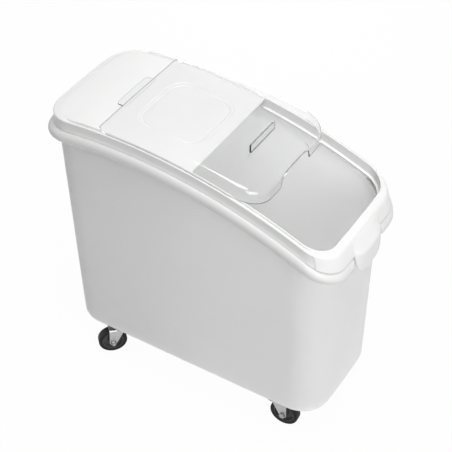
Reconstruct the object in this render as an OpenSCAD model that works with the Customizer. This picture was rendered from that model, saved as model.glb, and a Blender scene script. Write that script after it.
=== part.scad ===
// Rolling ingredient bin: a tapered tub, a top frame that clips over its rim, and a clear lid that slides
// on the frame's curved top, on four swivel casters. Millimetres, +Z up, origin on the ground under the
// middle of the bin. The low scooping end faces -Y.

/* [Overall] */
// width across the rolled bead of the tub
bin_w = 330; // [310:1:360]
// front of the bead, ahead of the middle
bead_front = 363; // [350:1:380]
// rear of the bead, behind the middle
bead_rear = 368; // [358:1:385]

/* [Rim curve] */
// radius of the rim in side view
rim_r = 1172; // [1000:2:1500]
// height of the highest point of the rim
rim_top = 701; // [660:1:740]
// distance of the highest point behind the middle
rim_peak_y = 176; // [140:1:210]

/* [Mouth and tracks] */
// distance of the mouth's front edge behind the front of the bead
mouth_inset = 34; // [30:1:43]
// distance of the frame's inside at the rear, ahead of the rear of the bead
frame_inset = 25; // [22:1:30]
// radius of the mouth's front corners in plan
mouth_r = 52; // [40:1:60]
// radius of the frame's rear corners in plan, on its inside
rear_r = 66; // [52:1:70]
// thickness of the inner rail and the skirt below it
rail_t = 3; // [2.4:0.1:3.4]
// width of the track groove
groove_w = 4; // [3.6:0.1:4.6]
// thickness of the outer lip
lip_t = 3.7; // [3:0.1:4.5]
// distance from the lip to the outside of the bead
bead_proud = 7.5; // [5:0.1:9]
// height of the inner rail over the rim curve
rail_h = 2.4; // [1.5:0.1:2.6]
// depth of the track groove under the rim curve
groove_h = 3.2; // [2.5:0.1:4]
// thickness of the web under the groove
web_t = 3.8; // [3:0.1:5]
// depth of the frame's inner face
skirt_h = 20; // [14:1:24]
// width of the ledge that runs round inside the mouth
ledge_w = 5.5; // [3:0.1:7]
// thickness of the ledge
ledge_t = 3; // [2:0.1:4]
// height of the frame's outer band
band_h = 28; // [22:1:32]
// depth of the recess round the band
recess_t = 1.8; // [0.8:0.1:2.4]
// distance of the recess's front end behind the mouth's front edge
recess_inset = 19; // [13:1:39]
// how far the collar's foot stands out past the recess
flare_w = 3; // [1:0.1:4]
// depth of the front collar from the mouth to the foot of its face
collar_w = 27; // [22:1:30]
// depth of the frame's rear edge
rear_w = 17; // [13:1:20]

/* [Deck] */
// front edge of the deck, ahead of the middle
deck_front = 22; // [10:1:40]
// thickness of the deck
deck_t = 4; // [3:0.1:6]
// height of the deck over the rim curve
deck_h = 0.7; // [0.2:0.1:1]
// half width of the embossed panel
panel_hw = 92; // [60:1:110]
// rear edge of the embossed panel, behind the middle
panel_rear = 168; // [120:1:220]
// front edge of the embossed panel, behind the middle
panel_front = 2; // [-10:1:40]
// corner radius of the embossed panel
panel_r = 46; // [20:1:60]
// depth of the embossed panel
panel_t = 2; // [0.8:0.1:2.4]
// width of the panel's sloped border
panel_slope = 12; // [4:1:16]

/* [Front tab] */
// half width of the tab at its foot
tab_hw = 57; // [35:1:58]
// distance of the tab in front of the bead
tab_proud = 6; // [5:0.1:8]
// thickness of the tab
tab_t = 3.6; // [2.5:0.1:4.5]
// distance of the tab's lower edge below the mouth's front edge
tab_drop = 100.6; // [90:0.2:108]

/* [Tub] */
// distance of the side walls in from the outside of the bead
wall_inset = 13.2; // [12:0.1:17]
// distance of the front wall behind the front of the bead
wall_inset_front = 27.8; // [23:0.1:33]
// distance of the rear wall ahead of the rear of the bead
wall_inset_rear = 22; // [16:0.1:26]
// depth under the top of the rim at which those three are measured
wall_ref_h = 101; // [61:1:141]
// how far the sides draw in at the bottom
side_lean = 9; // [4:0.5:16]
// how far the front draws in at the bottom
front_lean = 2.7; // [1:0.1:12]
// how far the rear draws in at the bottom
rear_lean = 16; // [6:0.5:24]
// corner radius of the tub in plan
wall_r = 71; // [55:1:72]
// wall thickness
wall_t = 4; // [3:0.1:5]
// floor thickness
floor_t = 7; // [6:0.1:12]
// height of the caster pads under the floor
pad_h = 2; // [1:0.1:4]
// radius of the bottom edge
foot_r = 14; // [10:1:20]
// radius inside the bottom edge
sump_r = 20; // [10:1:30]
// height of the rolled bead
bead_h = 30; // [24:1:36]
// corner radius of the bead in plan
bead_r = 70; // [60:1:76]

/* [Lid] */
// front of the lid, ahead of the middle
lid_front = 181; // [170:1:195]
// rear of the lid, behind the middle
lid_rear = 209; // [200:1:215]
// radius of the lid's crown in side view
lid_r = 950; // [900:5:1000]
// height of the lid's crown over the top of the rim
lid_rise = 15.5; // [15:0.1:21]
// distance of the crown behind the middle
lid_peak_y = 74; // [66:1:90]
// thickness of the lid
lid_t = 2.8; // [2.4:0.1:3]
// plan radius of the front corners
lid_front_r = 56; // [44:1:64]
// plan radius of the rear corners
lid_rear_r = 14; // [12:1:20]
// rounding of the lid's upper edge
lid_edge_r = 16; // [8:0.5:18]
// half width of the finger notch
notch_hw = 60; // [45:1:70]
// half width of the upright grip
grip_hw = 50; // [30:1:60]
// height of the grip over the lid's crown curve
grip_h = 19; // [12:1:22]
// thickness of the grip
grip_t = 4; // [3:0.1:6]
// distance of the grip ahead of the middle
grip_y = 101; // [80:1:130]
// half width of the rear lip
heel_hw = 58; // [40:1:70]
// length of the rear lip behind the lid
heel_l = 17; // [8:1:20]

/* [Casters] */
// distance of each swivel axis in from the side of the bead
caster_inset_x = 61; // [61:1:75]
// distance of each swivel axis in from the end of the bead
caster_inset_y = 152; // [130:1:182]
// wheel diameter
wheel_d = 70; // [60:1:72]
// tyre width
wheel_w = 22; // [16:1:23]
// distance of the axle behind the swivel axis
trail = 27; // [22:0.5:32]
// thickness of the fork's sheet
fork_t = 2.5; // [2:0.1:3]
// half of the clear width inside the fork
fork_in = 13.3; // [12.6:0.1:15]
// axle diameter
axle_d = 8; // [6:0.5:9]
// mounting plate across
plate_w = 50; // [46:1:54]
// mounting plate along
plate_l = 74; // [68:1:90]
// thickness of the mounting plate
plate_t = 2.5; // [2:0.1:3.5]
// screw spacing across
hole_x = 36; // [32:1:38]
// screw spacing along
hole_y = 58; // [52:1:60]
// screw diameter
screw_d = 5; // [4:0.1:5.5]
// rest angle of the front left caster
yaw_front_left = -87; // [-180:1:180]
// rest angle of the front right caster
yaw_front_right = -112; // [-180:1:180]
// rest angle of the rear left caster
yaw_rear_left = 134.5; // [-180:0.5:180]
// rest angle of the rear right caster
yaw_rear_right = 96; // [-180:1:180]

/* [Clearances] */
// gap between seated pieces
seat_gap = 0.3; // [0.2:0.05:0.4]
// gap between the lid and the frame
slide_gap = 0.6; // [0.5:0.05:0.7]
// radial running clearance on shafts
run_gap = 0.05; // [0.02:0.01:0.09]

/* [Hidden] */
$fn = 48;
corner_n = 8;
side_n = 12;

// stations across the ring profile, outward from the mouth at the sides
mouth_hw = bin_w / 2 - bead_proud - lip_t - groove_w - rail_t;
groove_in = rail_t;
groove_out = rail_t + groove_w;
lip_out = groove_out + lip_t;
mouth_front = bead_front - mouth_inset;
frame_rear = bead_rear - frame_inset;
recess_front = mouth_front - recess_inset;
rim_cz = rim_top - rim_r;
lid_cz = rim_top + lid_rise - lid_r;
web_h = groove_h + web_t;
wall_hw = bin_w / 2 - wall_inset;
wall_front = bead_front - wall_inset_front;
wall_rear = bead_rear - wall_inset_rear;
wall_ref_z = rim_top - wall_ref_h;
notch_out = tab_hw + 9;
deck_in = 1.2;
end_bow = 1;
bead_root = 0.35;
rim_gap = seat_gap + 0.1;

// where the track fades out at either end
track_end = 8;
track_fade = 24;
track_rear_end = 43;
track_rear_fade = 17;
fade_front = [track_fade + track_end - mouth_front, track_end - mouth_front];
fade_rear = [frame_rear - track_rear_fade - track_rear_end, frame_rear - track_rear_end];

// shoulder of the tab: distance behind its face, height over the collar's foot, strength, fade at the ends
tab_knee = [0, -4, 1, 1];
tab_brow = [5, 9, 1, 1.5];
tab_ridge = [13, 24, 0.7, 2.2];

caster_x = bin_w / 2 - caster_inset_x;
caster_front = caster_inset_y - bead_front;
caster_rear = bead_rear - caster_inset_y;
wheel_r = wheel_d / 2;
axle_r = axle_d / 2;
bush_r = axle_r + 2;
hub_r = bush_r + 4;
tyre_t = 8.7;
tyre_step = 5;
tread_r = 3.5;
rim_out_r = wheel_r - tyre_t;
wheel_gap = 3;
crown_z = wheel_d + wheel_gap;
king_r = 4.5;
king_head_r = 8;
ball_r = 2.5;
ball_ring_r = 16;
ball_n = 14;
race_t = 1;
cup_r = 22;
cup_t = 2.2;
cone_r = 19;
cone_bore_r = 13;
hex_r = 7;
hex_h = 5;
cup_h = 3.4;
ball_z = crown_z + fork_t + race_t + seat_gap + ball_r;
race_z = ball_z + ball_r + seat_gap;
plate_z = race_z + cup_h;
caster_h = plate_z + plate_t;
floor_z = caster_h + pad_h;
cheek_r = 9;
screw_grip = 6;

// height of the rim curve, h measured square to the curve
function rim_z(y, h) = rim_cz + sqrt(pow(rim_r + h, 2) - pow(y - rim_peak_y, 2));
function lid_z(y) = lid_cz + sqrt(lid_r * lid_r - pow(y - lid_peak_y, 2));
function mix(a, b, t) = a + (b - a) * t;
function ramp(a, b, v) = min(1, max(0, (v - a) / (b - a)));

// stations round a rounded rectangle, from the middle of the front by the right to the middle of the rear:
// place across, place along, then the outward direction
function half_ring(front) = concat(
    [for (t = front) [t, 0, 0, -1]],
    [for (k = [0:corner_n]) [1, 0, sin(90 * k / corner_n), -cos(90 * k / corner_n)]],
    [for (k = [1:side_n - 1]) [1, k / side_n, 1, 0]],
    [for (k = [0:corner_n]) [1, 1, cos(90 * k / corner_n), sin(90 * k / corner_n)]],
    [[0, 1, 0, 1]]);
function full_ring(half) = concat(half,
    [for (k = [len(half) - 2:-1:1]) [-half[k][0], half[k][1], -half[k][2], half[k][3]]]);
function front_ring(half_width, straight) = full_ring(half_ring([for (t = ARCH) t * half_width / straight]));
function at_front(s) = s[1] == 0 && s[2] == 0;
ARCH = [0, 0.25, 0.5, 0.7, 0.83, 0.92, 0.975, 1];
PLAIN = full_ring(half_ring([0]));

// height of a flat-topped arch over x, 1 in the middle and 0 at the ends
function arch(x, half_width) = sqrt(max(0, 1 - pow(x / half_width, 4)));

// point of an outline [half width, front y, rear y, front radius, rear radius] at a station;
// the straight ends bow out a little
function plan_pt(s, o) = let (r = mix(o[3], o[4], s[1])) [
    s[0] * (o[0] - r) + s[2] * r,
    mix(o[1] + o[3], o[2] - o[4], s[1]) + s[3] * (r + (s[2] == 0 ? end_bow * (1 - s[0] * s[0]) : 0))];

// outline that stands off the mouth by its own distance at the side, front and rear
function mouth_line(side, front, rear) =
    [mouth_hw + side, -mouth_front - front, frame_rear + rear, mouth_r + side, rear_r + side];

// outline of the tub's wall at a height, drawn in by an inset
function wall_line(z, inset) = let (lean = (wall_ref_z - z) / (wall_ref_z - floor_z)) [
    wall_hw - side_lean * lean - inset,
    -wall_front + front_lean * lean + inset,
    wall_rear - rear_lean * lean - inset,
    wall_r - inset, wall_r - inset];

// outline between the wall and the outside of the bead
function bead_line(share) = let (w = wall_line(wall_ref_z, 0)) [
    mix(w[0], bin_w / 2, share),
    mix(w[1], -bead_front, share),
    mix(w[2], bead_rear, share),
    mix(w[3], bead_r, share),
    mix(w[4], bead_r, share)];

function flat_ring(ring, o, z) = [for (s = ring) let (p = plan_pt(s, o)) [p[0], p[1], z]];
function curved_ring(ring, o, h) = [for (s = ring) let (p = plan_pt(s, o)) [p[0], p[1], rim_z(p[1], h)]];
function wall_ring(ring, inset, h) = [for (s = ring)
    let (y = plan_pt(s, wall_line(wall_ref_z, inset))[1], p = plan_pt(s, wall_line(rim_z(y, h), inset)))
    [p[0], p[1], rim_z(p[1], h)]];

// closed solid through rings of equal length, either a loop or with ends closed by strips across X
module skin(rings, loop = false) {
    n = len(rings[0]);
    m = len(rings);
    half = n / 2;
    last = (m - 1) * n;
    sides = [for (i = [0:loop ? m - 1 : m - 2], j = [0:n - 1])
        let (a = i * n, b = ((i + 1) % m) * n, k = (j + 1) % n)
        each [[a + j, b + j, b + k], [a + j, b + k, a + k]]];
    strips = concat(
        [[0, 1, n - 1], [half - 1, half, half + 1]],
        [for (j = [1:half - 2]) each [[j, j + 1, n - j - 1], [j, n - j - 1, n - j]]]);
    ends = loop ? [] : concat(strips, [for (f = strips) [last + f[2], last + f[1], last + f[0]]]);
    polyhedron(points = [for (r = rings) each r], faces = concat(sides, ends), convexity = 8);
}

// flat rounded rectangle
module round_rect(w, l, r) {
    square([w - 2 * r, l], center = true);
    square([w, l - 2 * r], center = true);
    for (x = [-1, 1], y = [-1, 1])
        translate([x * (w / 2 - r), y * (l / 2 - r)])
            circle(r);
}

// tub with its bead, the thin rim inside the frame and the caster pads with their screw holes
module tub() {
    ring = front_ring(notch_out, wall_hw - wall_r);
    rim_in = groove_in + rim_gap;
    rim_out = groove_out - rim_gap;
    top = -web_h - seat_gap;
    bead_top = -band_h - seat_gap;
    rings = concat(
        [for (a = [0:22.5:90])
            flat_ring(ring, wall_line(floor_z, foot_r * (1 - sin(a))), floor_z + foot_r * (1 - cos(a)))],
        [wall_ring(ring, 0, bead_top - bead_h - 2)],
        [for (a = [-90:22.5:90]) bead_ring(ring, cos(a), bead_top + bead_h / 2 * (sin(a) - 1))],
        [curved_ring(ring, mouth_line(rim_out, rim_out, rim_out), bead_top)],
        [curved_ring(ring, mouth_line(rim_out, rim_out, rim_out), top)],
        [curved_ring(ring, mouth_line(rim_in, rim_in, rim_in), top)],
        [curved_ring(ring, mouth_line(rim_in, rim_in, rim_in), bead_top - 4)],
        [wall_ring(ring, wall_t, bead_top - 10)],
        [for (a = [90:-30:0])
            flat_ring(ring, wall_line(floor_z + floor_t, wall_t + sump_r * (1 - sin(a))),
                floor_z + floor_t + sump_r * (1 - cos(a)))]);
    color([0.94, 0.94, 0.93])
        difference() {
            union() {
                skin(rings);
                for (c = [0:3])
                    at_caster(c, 0)
                        translate([0, 0, caster_h])
                            linear_extrude(pad_h + floor_t - 1.5)
                                round_rect(plate_w + 6, plate_l + 6, 9);
            }
            for (c = [0:3])
                at_caster(c, 0)
                    screw_places()
                        translate([0, 0, caster_h - 1])
                            cylinder(d = screw_d + 2 * run_gap, h = screw_grip + 1.5);
        }
}

// one ring of the bead, sunk back behind the tab
function bead_ring(ring, swell, h) = [for (s = ring)
    let (x = plan_pt(s, bead_line(1))[0],
        clear = at_front(s) ? ramp(tab_hw + 2, notch_out, abs(x)) : 1,
        p = plan_pt(s, bead_line(bead_root + (1 - bead_root) * swell * clear)))
    [p[0], p[1], rim_z(p[1], h)]];

// frame over the tub's rim: tracks, collar, band and tab in one ring, with the deck
module top_frame() {
    foot_h = -skirt_h - ledge_t;
    face = -bead_front - tab_proud;
    back = [tab_t, 0, 0, 0];
    foot = [face, rim_z(-mouth_front, 0) - tab_drop, 1, 1];
    low = [face, rim_z(-mouth_front - collar_w, -band_h), 0, 0];
    rings = [
        frame_ring([groove_out + 3.5, collar_w, rear_w], [-band_h], flare_w, foot),
        frame_ring([lip_out - recess_t, collar_w - 2, rear_w - 0.4], [6 - band_h], recess_t + 1.4,
            low + tab_knee),
        frame_ring([lip_out - recess_t, collar_w - 5, rear_w - 0.8], [-15], recess_t + 0.8, low + tab_brow),
        frame_ring([lip_out - recess_t, collar_w - 8.5, rear_w - 1], [-6], recess_t, low + tab_ridge),
        frame_ring([lip_out, collar_w - 9.5, rear_w - 0.5], [-4]),
        frame_ring([lip_out, collar_w - 11.5, rear_w - 1], [-1.5, -1.2, -1.5]),
        frame_ring([lip_out - 1, collar_w - 13.5, rear_w - 2.4], [0, 0.2, 0]),
        frame_ring([groove_out + 0.8, collar_w - 17, rear_w - 5], [-0.3, 1, 0.4]),
        frame_ring([groove_out, 8.5, rear_w - 8], [-groove_h, 1.3, 0.6]),
        frame_ring([groove_in, 5, 5], [-groove_h, rail_h - 0.6, 0.8]),
        frame_ring([groove_in - 0.2, 3.5, 3.5], [rail_h - 0.9, rail_h - 0.3, 0.9]),
        frame_ring([rail_t * 0.6, 2, 2], [rail_h, rail_h, 1]),
        frame_ring([rail_t * 0.25, 0.8, 0.8], [rail_h - 0.3, rail_h - 0.3, 1]),
        frame_ring([0, 0, 0], [rail_h - 1.3, rail_h - 1.3, 0.4]),
        frame_ring([0, 0, 0], [-skirt_h]),
        frame_ring([-ledge_w, -ledge_w, -ledge_w], [-skirt_h - 1]),
        frame_ring([-ledge_w, -ledge_w, -ledge_w], [foot_h - 1]),
        frame_ring([groove_in, groove_in, groove_in], [foot_h - 1.5]),
        frame_ring([groove_in, groove_in, groove_in], [-web_h]),
        frame_ring([groove_out, collar_w - 13, rear_w - 5], [-web_h]),
        frame_ring([groove_out, collar_w - 8, rear_w - 3.5], [8 - band_h], 0, low + tab_knee + back),
        frame_ring([groove_out, collar_w - 4, rear_w - 3], [-band_h], flare_w, foot + back)];
    color([0.96, 0.96, 0.95])
        difference() {
            union() {
                skin(rings, true);
                deck();
            }
            panel();
        }
}

// one ring of the frame: distance off the mouth and height over the rim curve, each at side, front and rear;
// flare adds to the side in front of the recess, pull is the place, strength and fade of the tab
function frame_ring(off, h, flare = 0, pull = [0, 0, 0, 1]) =
    [for (s = front_ring(tab_hw, mouth_hw - mouth_r))
        let (y = plan_pt(s, mouth_line(lip_out, collar_w / 2, rear_w))[1],
            side = off[0] + flare * ramp(-recess_front, -recess_front - 10, y),
            p = plan_pt(s, mouth_line(side, off[1], off[2])),
            front = len(h) > 1 ? (h[1] - h[0]) * ramp(fade_front[0], fade_front[1], y) : 0,
            rear = len(h) > 1 ? (h[2] - h[0]) * ramp(fade_rear[0], fade_rear[1], y) : 0,
            z = rim_z(p[1], h[0] + front + rear),
            t = at_front(s) ? pull[2] * pow(arch(p[0], tab_hw), pull[3]) : 0)
        [p[0], mix(p[1], pull[0], t), mix(z, pull[1], t)]];

// closed rear half of the top
module deck() {
    o = [mouth_hw + deck_in, -deck_front, frame_rear + deck_in, 4, rear_r + deck_in];
    skin([curved_ring(PLAIN, o, deck_h - deck_t), curved_ring(PLAIN, o, deck_h)]);
}

// shallow panel sunk in the deck
module panel() {
    floor_line = [panel_hw - panel_slope, panel_front + panel_slope, panel_rear - panel_slope,
        panel_r - panel_slope, panel_r - panel_slope];
    top_line = [panel_hw + panel_slope, panel_front - panel_slope, panel_rear + panel_slope,
        panel_r + panel_slope, panel_r + panel_slope];
    skin([curved_ring(PLAIN, floor_line, deck_h - panel_t), curved_ring(PLAIN, top_line, deck_h + panel_t)]);
}

// lid outline drawn in by an inset
function lid_line(inset) = [mouth_hw + groove_in + slide_gap + lid_t - inset, -lid_front + inset,
    lid_rear - inset, lid_front_r - inset, lid_rear_r - inset];

// clear lid with its finger notch, grip and rear lip
module sliding_lid() {
    ring = front_ring(notch_hw, lid_line(0)[0] - lid_front_r);
    inner_r = lid_edge_r - lid_t;
    rings = concat(
        [for (a = [90:-30:0]) lid_ring(ring, lid_t, lid_t, inner_r, a)],
        [lid_foot(ring, lid_t)],
        [lid_foot(ring, 0)],
        [for (a = [0:22.5:90]) lid_ring(ring, 0, 0, lid_edge_r, a)]);
    color([0.86, 0.9, 0.92, 0.45]) {
        skin(rings);
        translate([0, -grip_y + grip_t / 2, lid_z(-grip_y) + grip_h / 2 - lid_t / 2])
            rotate([90, 0, 0])
                linear_extrude(grip_t)
                    round_rect(2 * grip_hw, grip_h + lid_t, 5);
        heel();
    }
}

// height of the lid's lower edge: in the groove at the sides, over the rail elsewhere, raised at the notch
function lid_low(s, p) =
    let (over = rim_z(p[1], rail_h + slide_gap),
        under = rim_z(p[1], slide_gap - groove_h),
        roof = lid_z(p[1]) - lid_t - 1)
    s[1] > 0 && s[1] < 1 ? under : at_front(s) ? mix(over, max(over, roof), arch(p[0], notch_hw)) : over;
function lid_foot(ring, inset) = [for (s = ring) let (p = plan_pt(s, lid_line(inset)))
    [p[0], p[1], lid_low(s, p)]];
function lid_ring(ring, inset, drop, r, a) = [for (s = ring)
    let (q = plan_pt(s, lid_line(inset)),
        fall = min(r, 0.6 * (lid_z(q[1]) - drop - lid_low(s, q))),
        p = plan_pt(s, lid_line(inset + fall * (1 - cos(a)))))
    [p[0], p[1], lid_z(p[1]) - drop - fall * (1 - sin(a))]];

// lip behind the lid
module heel() {
    o = [heel_hw, lid_rear - 8, lid_rear + heel_l, 3, 9];
    low = rail_h + slide_gap + 0.3;
    skin([curved_ring(PLAIN, o, low), curved_ring(PLAIN, o, low + lid_t - 0.4)]);
}

// caster places and rest angles: front left, front right, rear left, rear right
CASTERS = [
    [-caster_x, caster_front, yaw_front_left],
    [caster_x, caster_front, yaw_front_right],
    [-caster_x, caster_rear, yaw_rear_left],
    [caster_x, caster_rear, yaw_rear_right]];
module at_caster(c, turned) {
    translate([CASTERS[c][0], CASTERS[c][1], 0])
        rotate([0, 0, turned * CASTERS[c][2]])
            children();
}
module screw_places() {
    for (x = [-0.5, 0.5], y = [-0.5, 0.5])
        translate([x * hole_x, y * hole_y, 0])
            children();
}
module at_axle() {
    translate([trail, 0, wheel_r])
        rotate([90, 0, 0])
            children();
}

// mounting plate with the upper race
module plate() {
    color([0.72, 0.73, 0.74])
        difference() {
            union() {
                translate([0, 0, plate_z])
                    linear_extrude(plate_t)
                        round_rect(plate_w, plate_l, 7);
                rotate_extrude()
                    polygon([[0, plate_z + 1], [cup_r, plate_z + 1], [cup_r, ball_z], [cup_r - cup_t, ball_z],
                        [cup_r - cup_t, race_z], [0, race_z]]);
            }
            translate([0, 0, race_z - 1])
                cylinder(r = king_r + run_gap, h = cup_h + plate_t + 2);
            screw_places()
                translate([0, 0, plate_z - 1])
                    cylinder(d = screw_d + 4 * run_gap, h = plate_t + 2);
        }
}

// screws from below through the plate into the tub's floor
module screws() {
    color([0.6, 0.61, 0.62])
        screw_places() {
            translate([0, 0, plate_z - 3.2])
                cylinder(r = 4.4, h = 3.2, $fn = 6);
            translate([0, 0, plate_z - 1])
                cylinder(d = screw_d, h = plate_t + 1 + screw_grip);
        }
}

// rivet on which the fork swivels
module kingpin() {
    color([0.6, 0.61, 0.62])
        rotate_extrude()
            polygon([[0, crown_z - seat_gap - 3], [king_head_r - 1, crown_z - seat_gap - 3],
                [king_head_r, crown_z - seat_gap - 2], [king_head_r, crown_z - seat_gap],
                [king_r, crown_z - seat_gap], [king_r, caster_h - seat_gap], [0, caster_h - seat_gap]]);
}

// ring of bearing balls
module balls() {
    color([0.8, 0.8, 0.82])
        for (k = [0:ball_n - 1])
            rotate([0, 0, k * 360 / ball_n])
                translate([ball_ring_r, 0, ball_z])
                    sphere(ball_r, $fn = 24);
}

// pressed fork: crown, lower race and two tapered cheeks
module fork() {
    out = fork_in + fork_t;
    color([0.74, 0.75, 0.76])
        difference() {
            union() {
                translate([0, 0, crown_z])
                    linear_extrude(fork_t) {
                        circle(cup_r);
                        translate([-4, -out])
                            square([trail + 12, 2 * out]);
                    }
                translate([0, 0, crown_z + fork_t - 0.5])
                    difference() {
                        cylinder(r = cone_r, h = race_t + 0.5);
                        translate([0, 0, -1])
                            cylinder(r = cone_bore_r, h = race_t + 3);
                    }
                for (side = [-1, 1])
                    translate([0, side * (fork_in + fork_t / 2), 0])
                        cheek();
            }
            translate([0, 0, crown_z - 5])
                cylinder(r = king_r + run_gap, h = fork_t + race_t + 10);
            at_axle()
                cylinder(r = axle_r + run_gap, h = 4 * out, center = true);
        }
}

// one cheek of the fork
module cheek() {
    rotate([90, 0, 0])
        linear_extrude(fork_t, center = true) {
            translate([trail, wheel_r])
                circle(cheek_r);
            polygon([[-4, crown_z + 1], [trail - cheek_r * cos(40), wheel_r - cheek_r * sin(40)],
                [trail + cheek_r, wheel_r], [trail + 8, crown_z + 1]]);
        }
}

// axle bolt with a hexagon head
module axle() {
    out = fork_in + fork_t;
    color([0.66, 0.67, 0.68])
        at_axle() {
            translate([0, 0, -out - 8.5])
                cylinder(r = axle_r, h = 2 * out + 9.5);
            translate([0, 0, out])
                cylinder(r = hex_r, h = hex_h, $fn = 6);
        }
}

// lock nut on the axle bolt
module nut() {
    out = fork_in + fork_t;
    color([0.7, 0.71, 0.72])
        at_axle()
            translate([0, 0, -out - 7])
                difference() {
                    union() {
                        translate([0, 0, 2])
                            cylinder(r = hex_r, h = hex_h, $fn = 6);
                        cylinder(r = 5.6, h = 3);
                    }
                    translate([0, 0, -1])
                        cylinder(r = axle_r + run_gap, h = 10);
                }
}

// bush clamped between the cheeks
module bush() {
    color([0.62, 0.62, 0.63])
        at_axle()
            difference() {
                cylinder(r = bush_r, h = 2 * fork_in - 0.2, center = true);
                cylinder(r = axle_r + run_gap, h = 3 * fork_in, center = true);
            }
}

// wheel core: hub, web and rim
module core() {
    hub_w = fork_in - 1.2;
    rim_hw = wheel_w / 2 - 1.5;
    web_hw = 3.5;
    bore = bush_r + run_gap;
    color([0.16, 0.16, 0.17])
        at_axle()
            rotate_extrude()
                polygon([[bore, -hub_w], [hub_r, -hub_w], [hub_r + 1, -web_hw], [rim_out_r - 4, -web_hw],
                    [rim_out_r - 3, -rim_hw], [rim_out_r, -rim_hw], [rim_out_r, rim_hw],
                    [rim_out_r - 3, rim_hw], [rim_out_r - 4, web_hw], [hub_r + 1, web_hw], [hub_r, hub_w],
                    [bore, hub_w]]);
}

// solid rubber tyre with a stepped side and a rounded tread
module tyre() {
    w = wheel_w / 2;
    r = rim_out_r + run_gap;
    step = wheel_r - tyre_step;
    color([0.07, 0.07, 0.07])
        at_axle()
            rotate_extrude()
                union() {
                    translate([r, -w])
                        square([step - r, 2 * w]);
                    translate([r, -w + 3])
                        square([wheel_r - r, 2 * w - 6]);
                    for (side = [-1, 1])
                        translate([wheel_r - tread_r, side * (w - tread_r - 0.5)])
                            circle(tread_r);
                    translate([r, -w + 1])
                        square([wheel_r - tread_r - r, 2 * w - 2]);
                }
}

tub();
top_frame();
sliding_lid();
at_caster(0, 0) plate();  // front_left_plate
at_caster(0, 0) screws();  // front_left_screws
at_caster(0, 0) kingpin();  // front_left_kingpin
at_caster(0, 1) balls();  // front_left_balls
at_caster(0, 1) fork();  // front_left_fork
at_caster(0, 1) axle();  // front_left_axle
at_caster(0, 1) nut();  // front_left_nut
at_caster(0, 1) bush();  // front_left_bush
at_caster(0, 1) core();  // front_left_core
at_caster(0, 1) tyre();  // front_left_tyre
at_caster(1, 0) plate();  // front_right_plate
at_caster(1, 0) screws();  // front_right_screws
at_caster(1, 0) kingpin();  // front_right_kingpin
at_caster(1, 1) balls();  // front_right_balls
at_caster(1, 1) fork();  // front_right_fork
at_caster(1, 1) axle();  // front_right_axle
at_caster(1, 1) nut();  // front_right_nut
at_caster(1, 1) bush();  // front_right_bush
at_caster(1, 1) core();  // front_right_core
at_caster(1, 1) tyre();  // front_right_tyre
at_caster(2, 0) plate();  // rear_left_plate
at_caster(2, 0) screws();  // rear_left_screws
at_caster(2, 0) kingpin();  // rear_left_kingpin
at_caster(2, 1) balls();  // rear_left_balls
at_caster(2, 1) fork();  // rear_left_fork
at_caster(2, 1) axle();  // rear_left_axle
at_caster(2, 1) nut();  // rear_left_nut
at_caster(2, 1) bush();  // rear_left_bush
at_caster(2, 1) core();  // rear_left_core
at_caster(2, 1) tyre();  // rear_left_tyre
at_caster(3, 0) plate();  // rear_right_plate
at_caster(3, 0) screws();  // rear_right_screws
at_caster(3, 0) kingpin();  // rear_right_kingpin
at_caster(3, 1) balls();  // rear_right_balls
at_caster(3, 1) fork();  // rear_right_fork
at_caster(3, 1) axle();  // rear_right_axle
at_caster(3, 1) nut();  // rear_right_nut
at_caster(3, 1) bush();  // rear_right_bush
at_caster(3, 1) core();  // rear_right_core
at_caster(3, 1) tyre();  // rear_right_tyre
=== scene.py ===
"""Rolling flour bin, dressed for a plain studio.

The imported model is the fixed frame. The three mouldings are rebuilt on the same curves as fine smooth meshes,
the casters as pressed and turned pieces, and every piece gets its finish. Sizes are in millimetres, meshes in
metres.
"""
import logging
import math
from dataclasses import dataclass
from enum import Enum
from typing import Sequence

import bmesh
import bpy
import numpy as np
from mathutils import Matrix, Vector


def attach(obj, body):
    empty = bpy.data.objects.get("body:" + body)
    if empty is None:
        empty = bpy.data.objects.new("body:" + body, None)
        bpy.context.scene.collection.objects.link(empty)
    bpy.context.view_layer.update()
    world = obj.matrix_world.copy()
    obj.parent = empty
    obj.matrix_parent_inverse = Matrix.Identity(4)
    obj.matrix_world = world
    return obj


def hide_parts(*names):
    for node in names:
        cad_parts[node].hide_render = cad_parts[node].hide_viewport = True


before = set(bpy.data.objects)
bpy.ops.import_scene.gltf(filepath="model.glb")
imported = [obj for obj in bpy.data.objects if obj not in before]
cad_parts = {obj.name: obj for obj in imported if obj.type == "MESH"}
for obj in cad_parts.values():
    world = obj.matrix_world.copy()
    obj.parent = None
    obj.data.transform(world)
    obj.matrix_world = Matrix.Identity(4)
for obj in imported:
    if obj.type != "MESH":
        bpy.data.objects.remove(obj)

LOG = logging.getLogger("flour_bin")
MM = 0.001
SHARP_DEG = 35.0
WELD_M = 1e-7
ARM_SHARE = 0.46
WHITE = (1.0, 1.0, 1.0, 1.0)
Array = np.ndarray
Value = np.ndarray | float
Rows = list[np.ndarray]
Faces = list[tuple[int, ...]]
Outline = list[tuple[float, float]]
Object = bpy.types.Object
Socket = bpy.types.NodeSocket
Color = tuple[float, float, float]
Rgba = tuple[float, float, float, float]
Point = tuple[float, float, float]


def mix(a: Value, b: Value, t: Value) -> Value:
    """Value between a and b at share t."""
    return a + (b - a) * t


def ramp(a: float, b: float, v: Array) -> Array:
    """Share of the way from a to b, held to 0 and 1."""
    return np.clip((v - a) / (b - a), 0.0, 1.0)


def arch(x: Array, half_width: float) -> Array:
    """Flat-topped arch over x, 1 in the middle and 0 at the ends."""
    return np.sqrt(np.maximum(0.0, 1.0 - (x / half_width) ** 4))


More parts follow.
